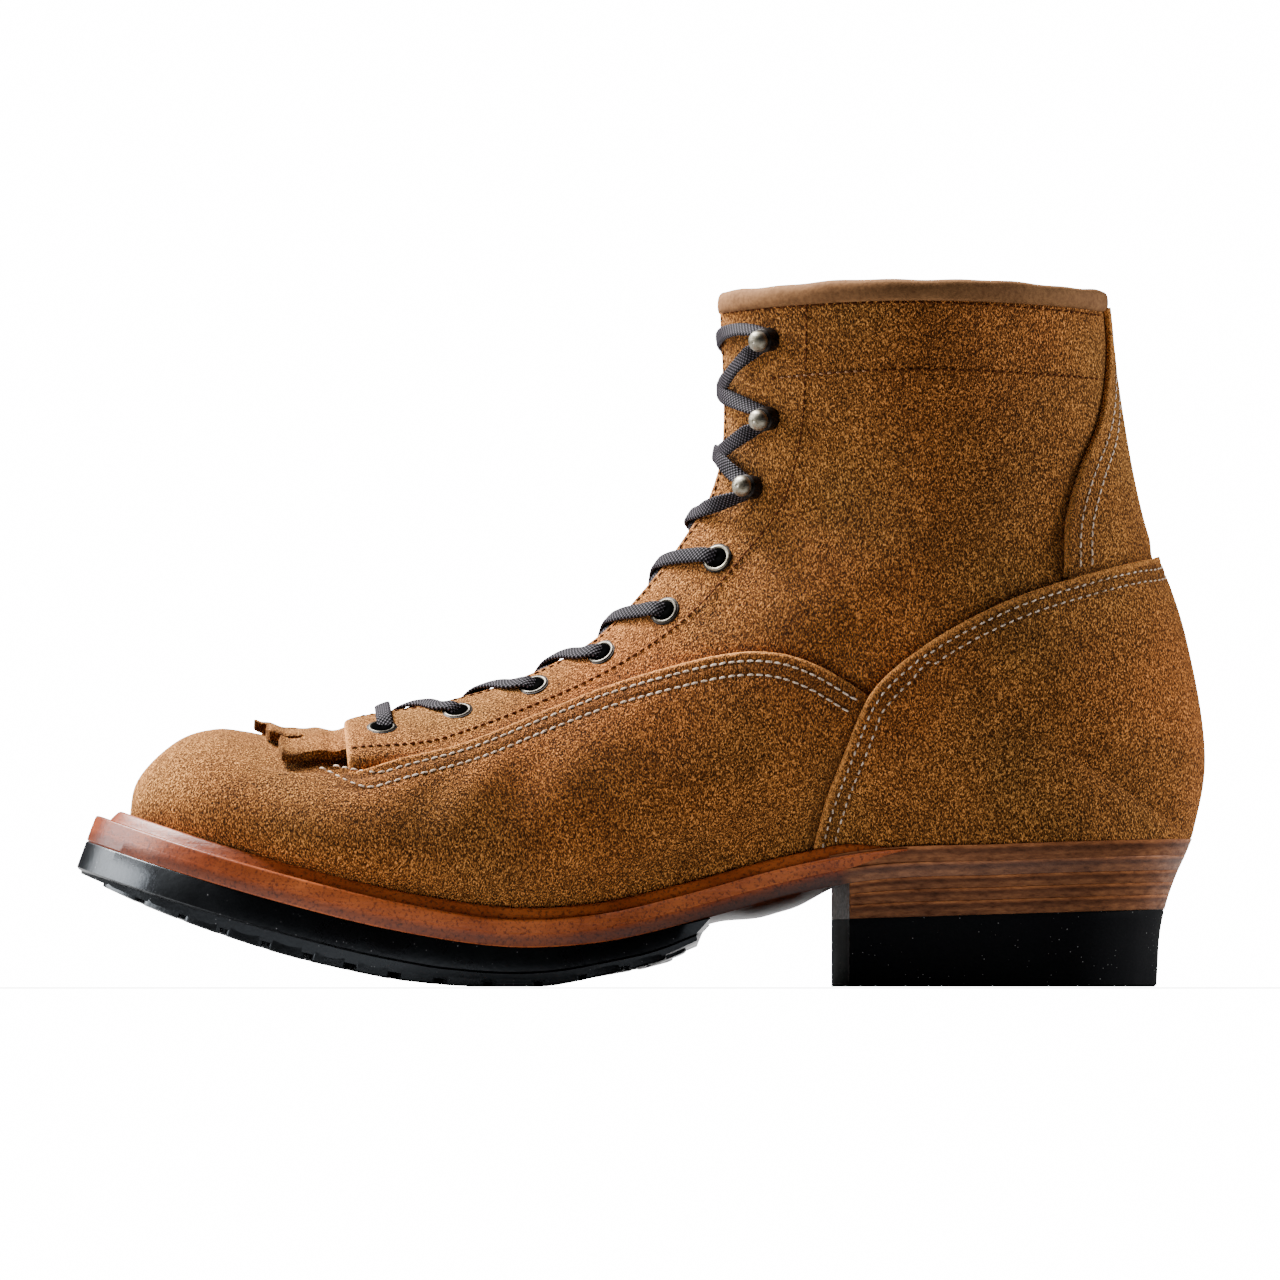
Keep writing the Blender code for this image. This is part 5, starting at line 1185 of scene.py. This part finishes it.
def make_pale_seams():
    """The double rows of the vamp, counter and backstay, on both sides."""
    meshes = []

    def sew(u, v, side, lift, length=STITCH, width=THREAD):
        meshes.append(stitch_row(*on_leather(u, v, side, lift), PITCH, length, width, THREAD_SLANT))

    vamp_u = np.linspace(SLOT_BACK_U + 0.4, VAMP_END_U + 0.3, 300)
    counter_u = np.linspace(COUNTER_U[0] + 0.2, COUNTER_U[1] - 0.02, 400)
    stay_u = np.linspace(BACKSTAY_U, END_U - 0.5, 200)
    for side in SIDES:
        for row, start in zip(VAMP_ROWS, VAMP_ROW_STARTS):
            u, v = offset(vamp_u, vamp_edge(vamp_u), side, row)
            start_u, start_v = side_to_last(start).T
            inside = (v < counter_edge(u) - 0.01) & (u > start_u[-1] + 2.2)
            u, v = smooth_line(np.append(start_u, u[inside]), np.append(start_v, v[inside]), 300)
            sew(u, v, side, GAP + OVERLAY - THREAD_SUNK)
        for row in COUNTER_ROWS:
            u, v = offset(counter_u, counter_edge(counter_u), side, row)
            u, v = smooth_line(u[v < 0.995], v[v < 0.995], 320)
            sew(u, np.minimum(v, 1), side, GAP + OVERLAY + COUNTER_PROUD - THREAD_SUNK, COUNTER_STITCH,
                COUNTER_THREAD)
        for row in BACKSTAY_ROWS:
            u, v = offset(stay_u, stay_edge(stay_u), side, row)
            inside = (v < 0.97) & (v < counter_edge(u) - 0.02)
            if inside.sum() > 20:
                u, v = smooth_line(u[inside], v[inside], 200)
                sew(u, v, side, GAP + OVERLAY - 0.7)
    put("pale_seams", *joined(meshes), PALE_THREAD, (), "rough_out_leather")


def make_brown_seams():
    """Finer dark rows: round the eyestay, across the shaft, under the binding and along the throat edge. The
    shaft's row is worn pale at its front end."""
    meshes, worn = [], []

    def sew(rows, u, v, side, lift, length, width):
        rows.append(stitch_row(*on_leather(u, v, side, lift), BROWN_PITCH, length, width))

    for side in SIDES:
        for points in (EYESTAY_SEAM, SHAFT_SEAM):
            u, v = edge_path(points, 200).T
            sew(meshes, u, v, side, eyestay_lift(u, v) + 0.02, 1.8, THREAD)
        u, v = u[5:60], v[5:60]
        sew(worn, u, v, side, eyestay_lift(u, v) + 0.14, 1.3, 0.55)
        v = np.linspace(throat_line(np.array([END_U]))[0] + 0.03, 0.93, 200)
        sew(meshes, np.full_like(v, END_U - 0.55), v, side, 0.05, 1.7, 0.55)
        u = np.linspace(SLOT_BACK_U + 1.2, END_U - 0.8, 300)
        u, v = offset(u, throat_edge(u), side, 2.2)
        sew(meshes, u, v, side, eyestay_lift(u, v) + 0.02, 1.7, 0.5)
    put("brown_seams", *joined(meshes), BROWN_THREAD, (), "rough_out_leather")
    put("worn_seam_ends", *joined(worn), TAN_THREAD, (), "rough_out_leather")


# The sole.

def sole_loop(angles, corners_at, radius):
    """Strip carried along the sole's edge: corners_at(x, wall) gives its (inset, height) corners at each
    place, and radius eases each corner."""
    rings = []
    for side, run in ((MEDIAL, angles), (LATERAL, angles[::-1][1:])):
        x = plan_x(run)
        corners = [np.stack(np.broadcast_arrays(*corner), -1) for corner in corners_at(x, wall_inset(x))]
        profile = rounded(np.stack(corners, 1), radius)
        edge = np.stack([plan(run, side, profile[:, k, 0]) for k in range(profile.shape[1])], 1)
        rings.append(sole_point(edge[..., 0], edge[..., 1], profile[..., 1]))
    return np.concatenate(rings)


def across_sole(angles, share, *insets):
    """Grid of plan points from the medial edge to the lateral one, both moved in."""
    medial, lateral = [plan(angles, side, *insets)[:, None] for side in SIDES]
    return medial * (1 - share[None, :, None]) + lateral * share[None, :, None]


def sole_angles(first, final, count):
    return np.linspace(float(plan_angle(first)), float(plan_angle(final)), count)


def welt_foot(x, wall):
    """Inset of the foot of the welt's ridge, and the ridge's width."""
    foot = wall - OVERLAY - (5 + 2 * ramp(-x, 125, 140)) * GAP + 0.9
    return foot, np.minimum(RIDGE_WIDTH, 0.72 * foot)


def make_welt():
    """Storm welt: flat outer rand, a groove for the stitches and a raised ridge against the upper, thinned
    to a feather edge at its rear ends."""
    def profile(x, wall):
        foot, ridge = welt_foot(x, wall)
        fade = ramp(-x, -WELT_END, -WELT_END + 18)
        top = SEAT - 0.2 + (RIDGE_TOP - SEAT + 0.3) * fade
        low = MIDSOLE_TOP - TOUCH + (WELT_FLAT - MIDSOLE_TOP - 0.5) * ramp(x, WELT_END - 17, WELT_END)
        groove = foot - ridge - 0.5
        return ((0.0, low), (0.0, low + 0.1), (0.1, WELT_FLAT - 0.1 + 0 * x), (groove - 0.9, WELT_FLAT + 0.1),
                (groove, WELT_FLAT - fade), (foot - 0.80 * ridge, WELT_FLAT + 0.55 * (top - WELT_FLAT)),
                (foot - 0.55 * ridge, top), (foot - 0.15 * ridge, top + 0.1), (foot + 0.3, SEAT - 0.2),
                (wall + WALL, SEAT - 0.2), (wall + WALL, low))

    eased = np.array([0.02, 0.05, 0.7, 0.7, 0.5, 0.8, 0.9, 0.9, 0.3, 0.2, 0.2])[:, None]
    rings = sole_loop(sole_angles(WELT_END, TOE_END, 150), profile, eased)
    put("storm_welt", *tube(rings), WELT_LEATHER, ("welt",), "welt_leather", None, CRISP)
    meshes = []
    angles = sole_angles(WELT_END - 22, TOE_END, 400)
    for side in SIDES:
        x = plan_x(angles)
        foot, ridge = welt_foot(x, wall_inset(x))
        edge = plan(angles, side, np.maximum(foot - ridge - 0.7, 0.8))
        points, above = [sole_point(edge[:, 0], edge[:, 1], WELT_FLAT + n) for n in (-0.85, 1)]
        meshes.append(stitch_row(points, unit(above - points), WELT_PITCH, WELT_STITCH, WELT_THREAD, 0.05))
    put("welt_stitches", *joined(meshes), PALE_THREAD, (), "welt_leather")


def make_heel_rand():
    """Seat of the heel: a strip of leather under the upper, from the welt's ends round the back."""
    def profile(x, wall):
        low, top = MIDSOLE_TOP - TOUCH + 0 * x, SEAT + 0.33
        back = HEEL_TAPER_SIDE + (1 - HEEL_TAPER_SIDE) * ramp(x, 120, 150)
        return ((2.1 * back, low), (1.9 * back, low + 0.3), (0.2 * back, SEAT), (0 * x, top),
                (wall + WALL, top), (wall + WALL, low))

    eased = np.array([0.03, 0.1, 0.1, 0.2, 0.2, 0.2])[:, None]
    rings = sole_loop(sole_angles(WELT_END - 20, HEEL_END, 110), profile, eased)
    layer = np.append(np.tile(np.repeat((0.0, 0.1, 0.92, 1.0, 1.0, 0.0), 4), len(rings)), (0, 0, 0, 0))
    put("seat_rand", *tube(rings), STACK_LEATHER, ("heel_rand",), "welt_leather", {"layer": layer}, CRISP)


def make_midsole():
    """Midsole: a section for each place along the boot, flat above, crowned below in the waist, with eased
    edges; its heel end leans in with the heel."""
    angles = np.concatenate([np.linspace(0, float(plan_angle(60.0)), 60),
                             np.linspace(float(plan_angle(59.0)), math.pi, 170)])
    x = plan_x(angles)
    crown = WAIST_CROWN * ramp(x, 18, 34) * ramp(-x, -56, -40)
    lean = 4.0 * ramp(x, BREAST - 20, 105)
    ease = 0.5
    share = np.linspace(0, 1, 25)

    def level(n, inset, side=None):
        """Points at one height: a grid from edge to edge, or the edge of one side."""
        insets = inset, inset * HEEL_TAPER_SIDE
        flat = across_sole(angles, share, *insets) if side is None else plan(angles, side, *insets)[:, None]
        return sole_point(flat[..., 0], flat[..., 1], n)

    edges = ((ease, lean * 0.94), (MIDSOLE_TOP - 0.4, 0.55 * lean), (MIDSOLE_TOP - 0.04, 0.53 * lean))
    drop = -crown[:, None] * (1 - (2 * share[None] - 1) ** 4)
    rings = np.concatenate([
        level(drop - TOUCH, lean + ease * (1 - ramp(x, BREAST - 8, BREAST))),
        *[level(n, inset, LATERAL) for n, inset in edges],
        level(MIDSOLE_TOP, 0.53 * lean + 0.02)[:, ::-1],
        *[level(n, inset, MEDIAL) for n, inset in edges[::-1]]], 1)
    levels = np.concatenate([0 * share, (0.13, 0.9, 0.98), 1 + 0 * share, (0.98, 0.9, 0.13)])
    layer = np.append(np.tile(levels, len(angles)), np.full(4, 0.35))
    put("leather_midsole", *tube(rings), MIDSOLE_LEATHER, ("midsole",), "welt_leather", {"layer": layer},
        CRISP)


def make_insole():
    """Insole: a flat grid inside the upper's wall at two heights."""
    angles = np.linspace(0, math.pi, 90)
    x = plan_x(angles)
    inset = wall_inset(x) + WALL + (4 + 6 * ramp(x, 105, 135)) * GAP
    flat = across_sole(angles, np.linspace(0, 1, 13), inset)
    grids = [sole_point(flat[..., 0], flat[..., 1], n) for n in (MIDSOLE_TOP + 1.5 * GAP, INSOLE_TOP)]
    put("leather_insole", *skin(*grids), INSOLE_LEATHER, ("insole",), "insole_leather")


def heel_level(x, share):
    """Height in the stacked heel: share 0 is the rubber's top, 1 the midsole's underside."""
    top = HEEL_TOP_FRONT + (HEEL_TOP_BACK - HEEL_TOP_FRONT) * (x - BREAST) / (HEEL_END - BREAST)
    return top * (1 - share) + smooth(x, *SOLE_LINE.T) * share


def heel_loop(level, ease):
    """Outline of the heel at one level, moved in by ease; the breast is a straight line, a little slanted."""
    angles = np.linspace(0, float(plan_angle(BREAST + 1 - BREAST_SLANT)), 90)
    x = plan_x(angles)
    inset = smooth(level(x), *HEEL_BACK.T) + ease
    medial, lateral = [plan(angles, side, inset, inset * HEEL_TAPER_SIDE + ease) for side in SIDES]
    medial[:, 0] = np.maximum(medial[:, 0], BREAST + 1)
    share = np.linspace(0, 1, 14)[1:-1, None]
    breast = medial[-1] * (1 - share) + lateral[-1] * share
    flat = np.concatenate([medial, breast, lateral[::-1][:-1]])
    return np.column_stack([flat, level(flat[:, 0])])


def make_heel():
    """Rubber heel block and three leather lifts: outlines at a few levels, eased at their edges."""
    def lifted(share, shift):
        return lambda x: heel_level(x, share) + shift

    block = [lambda x, s=s: s * (heel_level(x, 0) - GAP) for s in np.linspace(0.03, 0.97, 14)]
    rings = [heel_loop(lambda x: 0 * x, 0.7), *[heel_loop(level, 0.0) for level in block],
             heel_loop(lifted(0, TOUCH), 0.3)]
    put("rubber_heel", *tube(np.stack(rings)), HEEL_RUBBER, ("heel_rubber",), "black_rubber", None, CRISP)
    for number, (low, high) in enumerate(zip(LIFT_LEVELS[:-1], LIFT_LEVELS[1:]), 1):
        steps = ((low, -TOUCH, 0.1), (low, 0.1, 0.0), (low, 0.4, 0.0), (high, -1.2, 0.0), (high, -0.4, 0.0),
                 (high, -0.1, 0.0), (high, TOUCH, 0.1))
        rings = np.stack([heel_loop(lifted(share, shift), ease) for share, shift, ease in steps])
        verts, faces = tube(rings)
        layer = np.append(np.repeat((0.0, 0.03, 0.12, 0.68, 0.9, 0.97, 1.0), rings.shape[1]), (0, 0, 1, 1))
        # Painted shade: the lifts' breast face gets layer 0, the darkest tone.
        layer = np.where(verts[:, 0] < BREAST + 1.1, 0.0, layer)
        put(f"leather_lift_{number}", verts, faces, STACK_LEATHER, (f"heel_lift_{number}",), "welt_leather",
            {"layer": layer}, CRISP)


def tread_depths(x):
    """Depth of the lugs' underside below the midsole, and of the grooves between the lugs."""
    total = (smooth(x, *SOLE_LINE.T) - smooth(x, *TREAD_LINE.T)) * 0.97
    share = GROOVE_SHARE + (GROOVE_SHARE_TOE - GROOVE_SHARE) * ramp(-x, 95, 135)
    return total, np.minimum(RUBBER_SIDE, share * total)


def lug(start, end, first, final):
    """One eased lug: x from start to end, shares of the sole's width from first to final."""
    corner = rounded(np.array([(0.0, 0.0), (1.0, 0.0), (1.0, 1.0), (0.0, 1.0)]), 0.12, 3)
    rings = []
    for depth, ease in ((0.0, 0.0), (0.9, 0.0), (0.97, 0.03), (1.0, 0.08)):
        s = ease + (1 - 2 * ease) * corner
        at = start + (end - start) * s[:, 0]
        across = (first + (final - first) * s[:, 1])[:, None]
        medial, lateral = [plan(plan_angle(at), side, 0 * at + LUG_INSET) for side in SIDES]
        flat = medial * (1 - across) + lateral * across
        deep, shallow = tread_depths(at)
        ring = sole_point(flat[:, 0], flat[:, 1], -(shallow + (deep - shallow) * depth))
        ring[:, 2] = np.maximum(ring[:, 2], 0.0)
        rings.append(ring)
    return tube(np.stack(rings))


def make_outsole():
    """Half sole: a slab under the midsole with rows of eased lugs that end on the tread line."""
    angles = sole_angles(RUBBER_REAR_FOOT, TOE_END, 150)
    x = plan_x(angles)
    total, groove = tread_depths(x)
    rear = (RUBBER_REAR_TOP - RUBBER_REAR_FOOT) * (1 - ramp(-x, -RUBBER_REAR_FOOT, -RUBBER_REAR_FOOT + 6))

    def level(n, ease, shift=0 * x):
        flat = across_sole(angles, np.linspace(0, 1, 25), ease + 0 * x)
        return sole_point(flat[..., 0] + shift[:, None], flat[..., 1], (n + 0 * x)[:, None])

    top, low = level(TOUCH, 0.3, rear), level(-groove - 0.62 * (total - groove), 1.6)
    steps = (level(-groove - 0.15, 1.3), level(-groove, 0.6), level(-groove + 0.5, 0.0),
             level(-0.35, 0.0, rear))
    rings = np.concatenate([low, *[g[:, -1:] for g in steps], top[:, ::-1],
                            *[g[:, :1] for g in steps[::-1]]], 1)
    starts = np.array([-143.0, -131.5, -120.0, -108.5, -97.0, -85.5, -74.0, -62.5, -50.5, -38.0, -25.5, -14.0,
                       -3.0, 8.0])
    columns = ((0.0, 0.0, 0.30), (5.6, 0.33, 0.67), (1.9, 0.70, 1.0))
    lugs = [lug(start + shift, end + shift, first, final)
            for start, end in zip(starts[:-1] - 1.2, starts[1:] - 2.4) for shift, first, final in columns]
    meshes = [tube(rings), *lugs]
    put("lugged_outsole", *joined(meshes), SOLE_RUBBER, ("outsole",), "black_rubber", None, CRISP)


# Metal.

EYELET_UV = side_to_last(EYELETS)
HOOK_UV = side_to_last(HOOKS)


def frame_on_upper(u, v, side, lift):
    """Place on the upper and its axes: along the throat, across it, and out of the leather."""
    du, dv = 0.5, 0.03
    at = [last(np.array(u + a), np.array(v + b), side, eyestay_lift(u + a, v + b) + lift)
          for a, b in ((-du, 0), (du, 0), (0, -dv), (0, dv), (0, 0))]
    along = unit(at[1] - at[0])
    out = unit(side * np.cross(along, at[3] - at[2]))
    return at[4], along, np.cross(out, along), out


def turned(profile, frame_at, steps=40):
    """A profile of (radius, height) carried round the out axis of a place; a closed profile gives a ring."""
    centre, along, across, out = frame_at
    turn = np.linspace(0, 2 * math.pi, steps, endpoint=False)
    round_axis = np.cos(turn)[:, None] * along + np.sin(turn)[:, None] * across
    rings = centre + profile[None, :, :1] * round_axis[:, None] + profile[None, :, 1:] * out
    return tube(rings, loop=True)


def node_names(stem, count):
    return [f"{stem}_{side}_{k}" for side in ("medial", "lateral") for k in range(1, count + 1)]


def make_eyelets():
    """Rolled rings: an inner roll, bright on the top pair only, in a thin dark flange over a black plug,
    painted shade that fills each hole.
    """
    turn = np.linspace(0, 2 * math.pi, 14, endpoint=False)
    roll = np.column_stack([ROLL_R + 0.52 * np.cos(turn), 0.08 + 0.36 * np.sin(turn)])
    flange = rounded(np.array([(FLANGE_R, -0.4), (FLANGE_R, 0.12), (FLANGE_HOLE_R, 0.25),
                               (FLANGE_HOLE_R, -0.4)]), 0.15, 3)
    barrel = np.array([(AXIS_R, -0.4), (BARREL_R, -0.4), (BARREL_R, 0.28), (AXIS_R, 0.28)])
    sunk = (-0.2, -0.15, -0.1, -0.05, 0.0, 0.05)
    places = [frame_on_upper(u, v, side, deep) for side in SIDES for (u, v), deep in zip(EYELET_UV, sunk)]
    for name, profile, at, metal, nodes in (
            ("eyelet_rolls", roll, places[:5] + places[6:11], ANTIQUE, node_names("eyelet", 5)),
            ("eyelet_top_rolls", roll, places[5::6], SILVER, ("eyelet_medial_6", "eyelet_lateral_6")),
            ("eyelet_flanges", flange, places, DARK_METAL, ()), ("eyelet_holes", barrel, places, HOLE_SHADE, ())):
        put(name, *joined([turned(profile, place) for place in at]), metal, nodes, "antique_metal")


def make_hooks():
    """Ball hooks: a dark round base and neck, and a bright domed head."""
    turn = np.linspace(-0.45 * math.pi, 0.5 * math.pi, 12)
    top = HOOK_HEIGHT - 0.8 * HOOK_HEAD_R
    dome = np.column_stack([np.maximum(HOOK_HEAD_R * np.cos(turn), AXIS_R),
                            top + 0.8 * HOOK_HEAD_R * np.sin(turn)])
    head = np.concatenate([[(AXIS_R, top - 1.6)], dome])
    base = rounded(np.array([(AXIS_R, -0.3), (HOOK_BASE_R, -0.3), (HOOK_BASE_R, 3.6), (1.5, 3.9),
                             (1.4, top - 1.2), (AXIS_R, top - 1.2)]), 0.2, 3)
    base[:, 0] = np.maximum(base[:, 0], AXIS_R)
    places = [frame_on_upper(u, v, side, HOOK_LIFT) for side in SIDES for u, v in HOOK_UV]
    for name, profile, metal, nodes in (("hook_heads", head, SILVER, node_names("lace_hook", 3)),
                                        ("hook_bases", base, DARK_METAL, ())):
        put(name, *joined([turned(profile, place) for place in places]), metal, nodes, "antique_metal")


# Lace.

def ribbon(points, outs, step=0.8):
    """Flat lace along a path: a rounded flat profile, its face turned to the given directions. Gives points,
    quads, and each point's place along and across the lace in millimetres."""
    count = max(int(run_along(points)[-1] / step), 12)
    even, run = along_path(np.column_stack([points, outs]), count)
    middle, out = even[:, :3], unit(even[:, 3:])
    along = unit(np.gradient(middle, axis=0))
    across = unit(np.cross(out, along))
    out = np.cross(along, across)
    turn = np.linspace(0, 2 * math.pi, 16, endpoint=False)
    wide = LACE_WIDTH / 2 * np.sign(np.cos(turn)) * np.abs(np.cos(turn)) ** 0.55
    thick = LACE_THICK / 2 * np.sign(np.sin(turn)) * np.abs(np.sin(turn)) ** 0.75
    rings = middle[:, None] + across[:, None] * wide[None, :, None] + out[:, None] * thick[None, :, None]
    verts, faces = tube(rings)
    fields = np.stack([np.repeat(run, 16), np.tile(wide, len(run))], -1)
    fields = np.concatenate([fields, np.zeros((len(verts) - len(fields), 2))])
    return verts, faces, fields


def throat_points(stations):
    """Points over the throat from rows of (u, signed v, lift)."""
    u, w, lift = np.array(stations, dtype=float).T
    medial, lateral = [out_of_last(u, np.abs(w), side) for side in SIDES]
    outs = np.where((w < 0)[:, None], medial, lateral)
    return signed_last(u, w, eyestay_lift(u, np.abs(w)) + lift), outs


def round_hook(number, side):
    """Lace behind a hook's neck: in from below, round the far side, out above, standing on its edge."""
    centre, _, _, out = frame_on_upper(*HOOK_UV[number], side, HOOK_LIFT)
    away = unit(np.array((1.0, 0.0, 0.0)) - out * out[0])
    up = unit(np.array((0.0, 0.0, 1.0)) - out * out[2] - away * away[2])
    turn = np.radians(np.array([-100.0, -55.0, 0.0, 55.0, 100.0]))
    radial = np.cos(turn)[:, None] * away + np.sin(turn)[:, None] * up
    points = centre + radial * 2.0 + out * 2.4
    return points, unit(0.92 * radial + 0.4 * out)


def strand(parts):
    """A lace path from several runs of points and face directions."""
    return ribbon(np.concatenate([p for p, _ in parts]), np.concatenate([o for _, o in parts]))


def throat_half(u):
    return float(throat_line(np.array([u]))[0])


def under_edge(u, gain, edge, side):
    """Two places where a strand comes up from under the throat's far edge."""
    return [(u + 0.02 * gain, -side * 1.1 * edge, -3.0), (u + 0.08 * gain, -side * 0.75 * edge, -2.0)]


def make_lace():
    """Bar at the lowest eyelets, a crossing strand each way between eyelets, and two long strands that go on
    round the hooks in turn and end over the throat's edges at the top pair."""
    (u0, v0) = EYELET_UV[0]
    bar_w = np.array([-1.0, -0.86, -0.5, 0.0, 0.5, 0.86, 1.0]) * v0
    bar_lift = (-0.8, 0.9, 1.2, 1.3, 1.2, 0.9, -0.8)
    runs = [strand([throat_points([(u0 + 0.25, w, lift) for w, lift in zip(bar_w, bar_lift)])])]
    crossings = ((MEDIAL, 0.2), (LATERAL, -1.2))
    for k in range(1, 6):
        u1, (u2, v2) = EYELET_UV[k - 1][0], EYELET_UV[k]
        gain = u2 - u1
        edge = throat_half(u1 + 0.4 * gain)
        for side, over in crossings:
            runs.append(strand([throat_points([
                *under_edge(u1, gain, edge, side), (u1 + 0.28 * gain, 0.0, over),
                (u1 + (0.55 if k < 4 else 0.42) * gain, side * 0.98 * edge, 0.7),
                (u2 - 0.28 * gain, side * 0.72 * v2, 0.85), (u2 - 0.05 * gain, side * 0.93 * v2, 0.7),
                (u2 + 0.02 * gain, side * v2, -0.9)])]))
    u1 = EYELET_UV[5][0]
    gain = HOOK_UV[0][0] - u1
    edge = throat_half(u1 + 0.4 * gain)
    top_u = HOOK_UV[2][0]
    top_edge = throat_half(top_u)
    for side, over in crossings:
        parts = [throat_points([*under_edge(u1, gain, edge, side), (u1 + 0.14 * gain, 0.0, over),
                                (u1 + 0.30 * gain, side * 0.98 * edge, 0.75)])]
        here = side
        for number in range(2):
            middle = 0.75 * HOOK_UV[number][0] + 0.25 * HOOK_UV[number + 1][0]
            half = 1.05 * throat_half(middle)
            parts.append(round_hook(number, here))
            parts.append(throat_points([(middle - 0.3, here * half, 0.8),
                                        (middle, 0.0, over if number else -1.0 - over),
                                        (middle + 0.3, -here * half, 0.8)]))
            here = -here
        parts.append(round_hook(2, here))
        parts.append(throat_points([
            (top_u + 0.35, here * 1.3 * top_edge, 0.9), (top_u - 0.1, here * 0.8 * top_edge, 0.4),
            (top_u - 1.0, here * 0.6 * top_edge, -0.4), (top_u - 2.0, here * 0.8 * top_edge, -3.0)]))
        runs.append(strand(parts))
    verts, faces = joined([(points, quads) for points, quads, _ in runs])
    along, across = np.concatenate([kept for _, _, kept in runs]).T
    nodes = ["lace_bar", *[f"lace_crossing_{k}" for k in range(1, 9)]]
    put("lace", verts, faces, LACE, nodes, "waxed_lace", {"along": along, "across": across})


for make in (make_quarters, make_vamp, make_counter, make_backstay, make_binding, make_tongue, make_kiltie,
             make_pale_seams, make_brown_seams, make_welt, make_heel_rand, make_midsole, make_insole,
             make_heel, make_outsole, make_eyelets, make_hooks, make_lace):
    make()


# Floor, light and camera.

def make_floor():
    """Wide pale floor just under the boot, a flat grid of two parameters."""
    side = np.linspace(-FLOOR_HALF, FLOOR_HALF, 9)
    x, y = np.meshgrid(side, side, indexing="ij")
    index = np.arange(81).reshape(9, 9)
    quads = np.stack([index[:-1, :-1], index[1:, :-1], index[1:, 1:], index[:-1, 1:]], -1).reshape(-1, 4)
    mesh = bpy.data.meshes.new("floor")
    mesh.from_pydata(np.stack([x, y, 0 * x - FLOOR_DROP], -1).reshape(-1, 3).tolist(), [], quads.tolist())
    mesh.materials.append(finish("floor_paper", smooth_leather,
                                 ((0.40, 0.40, 0.40), (0.38, 0.38, 0.38), 400.0, 0.7, 0.8)))
    floor = bpy.data.objects.new("floor", mesh)
    bpy.context.scene.collection.objects.link(floor)


def make_light(name, place, aim, size, power, colour=(1.0, 1.0, 1.0)):
    data = bpy.data.lights.new(name, "AREA")
    data.shape = "RECTANGLE"
    data.size, data.size_y = size
    data.energy = power
    data.color = colour
    lamp = bpy.data.objects.new(name, data)
    lamp.location = place
    lamp.rotation_euler = (Vector(aim) - Vector(place)).to_track_quat("-Z", "Y").to_euler()
    bpy.context.scene.collection.objects.link(lamp)


def make_studio():
    """White backdrop that the camera sees but that hardly lights the boot, and four area lights."""
    world = bpy.data.worlds.new("studio")
    world.use_nodes = True
    tree = world.node_tree
    seen = tree.nodes.new("ShaderNodeLightPath").outputs["Is Camera Ray"]
    tree.nodes["Background"].inputs["Color"].default_value = (1.0, 1.0, 1.0, 1.0)
    strength = remap(tree, seen, 0.0, 1.0, AMBIENT, BACKDROP)
    tree.links.new(strength, tree.nodes["Background"].inputs["Strength"])
    bpy.context.scene.world = world
    make_light("key", (-0.55, 0.30, 1.05), (-0.02, 0.0, 0.08), (0.5, 0.5), 70.0)
    make_light("toe_card", (-1.1, 0.12, 0.50), (-0.1, 0.0, 0.06), (0.7, 0.50), 17.0, COOL_WHITE)
    make_light("heel_card", (1.1, 0.12, 0.45), (0.12, 0.0, 0.08), (0.4, 0.6), 12.0, COOL_WHITE)
    make_light("front_fill", (-0.5, -1.6, 0.9), (0.0, 0.0, 0.08), (1.0, 0.8), 0.01)


def make_camera():
    """Camera at the floor, far off, aimed a little up: the photograph's side view of the medial side."""
    data = bpy.data.cameras.new("camera")
    data.sensor_width = SENSOR
    data.lens = CAMERA_FAR / FRAME_WIDE * data.sensor_width
    data.clip_end = 50.0
    camera = bpy.data.objects.new("camera", data)
    place, aim = Vector((CAMERA_X, -CAMERA_FAR, CAMERA_HIGH)), Vector((CAMERA_X, 0.0, AIM_HIGH))
    camera.location = place
    camera.rotation_euler = (aim - place).to_track_quat("-Z", "Y").to_euler()
    bpy.context.scene.collection.objects.link(camera)
    bpy.context.scene.camera = camera


make_floor()
make_studio()
make_camera()
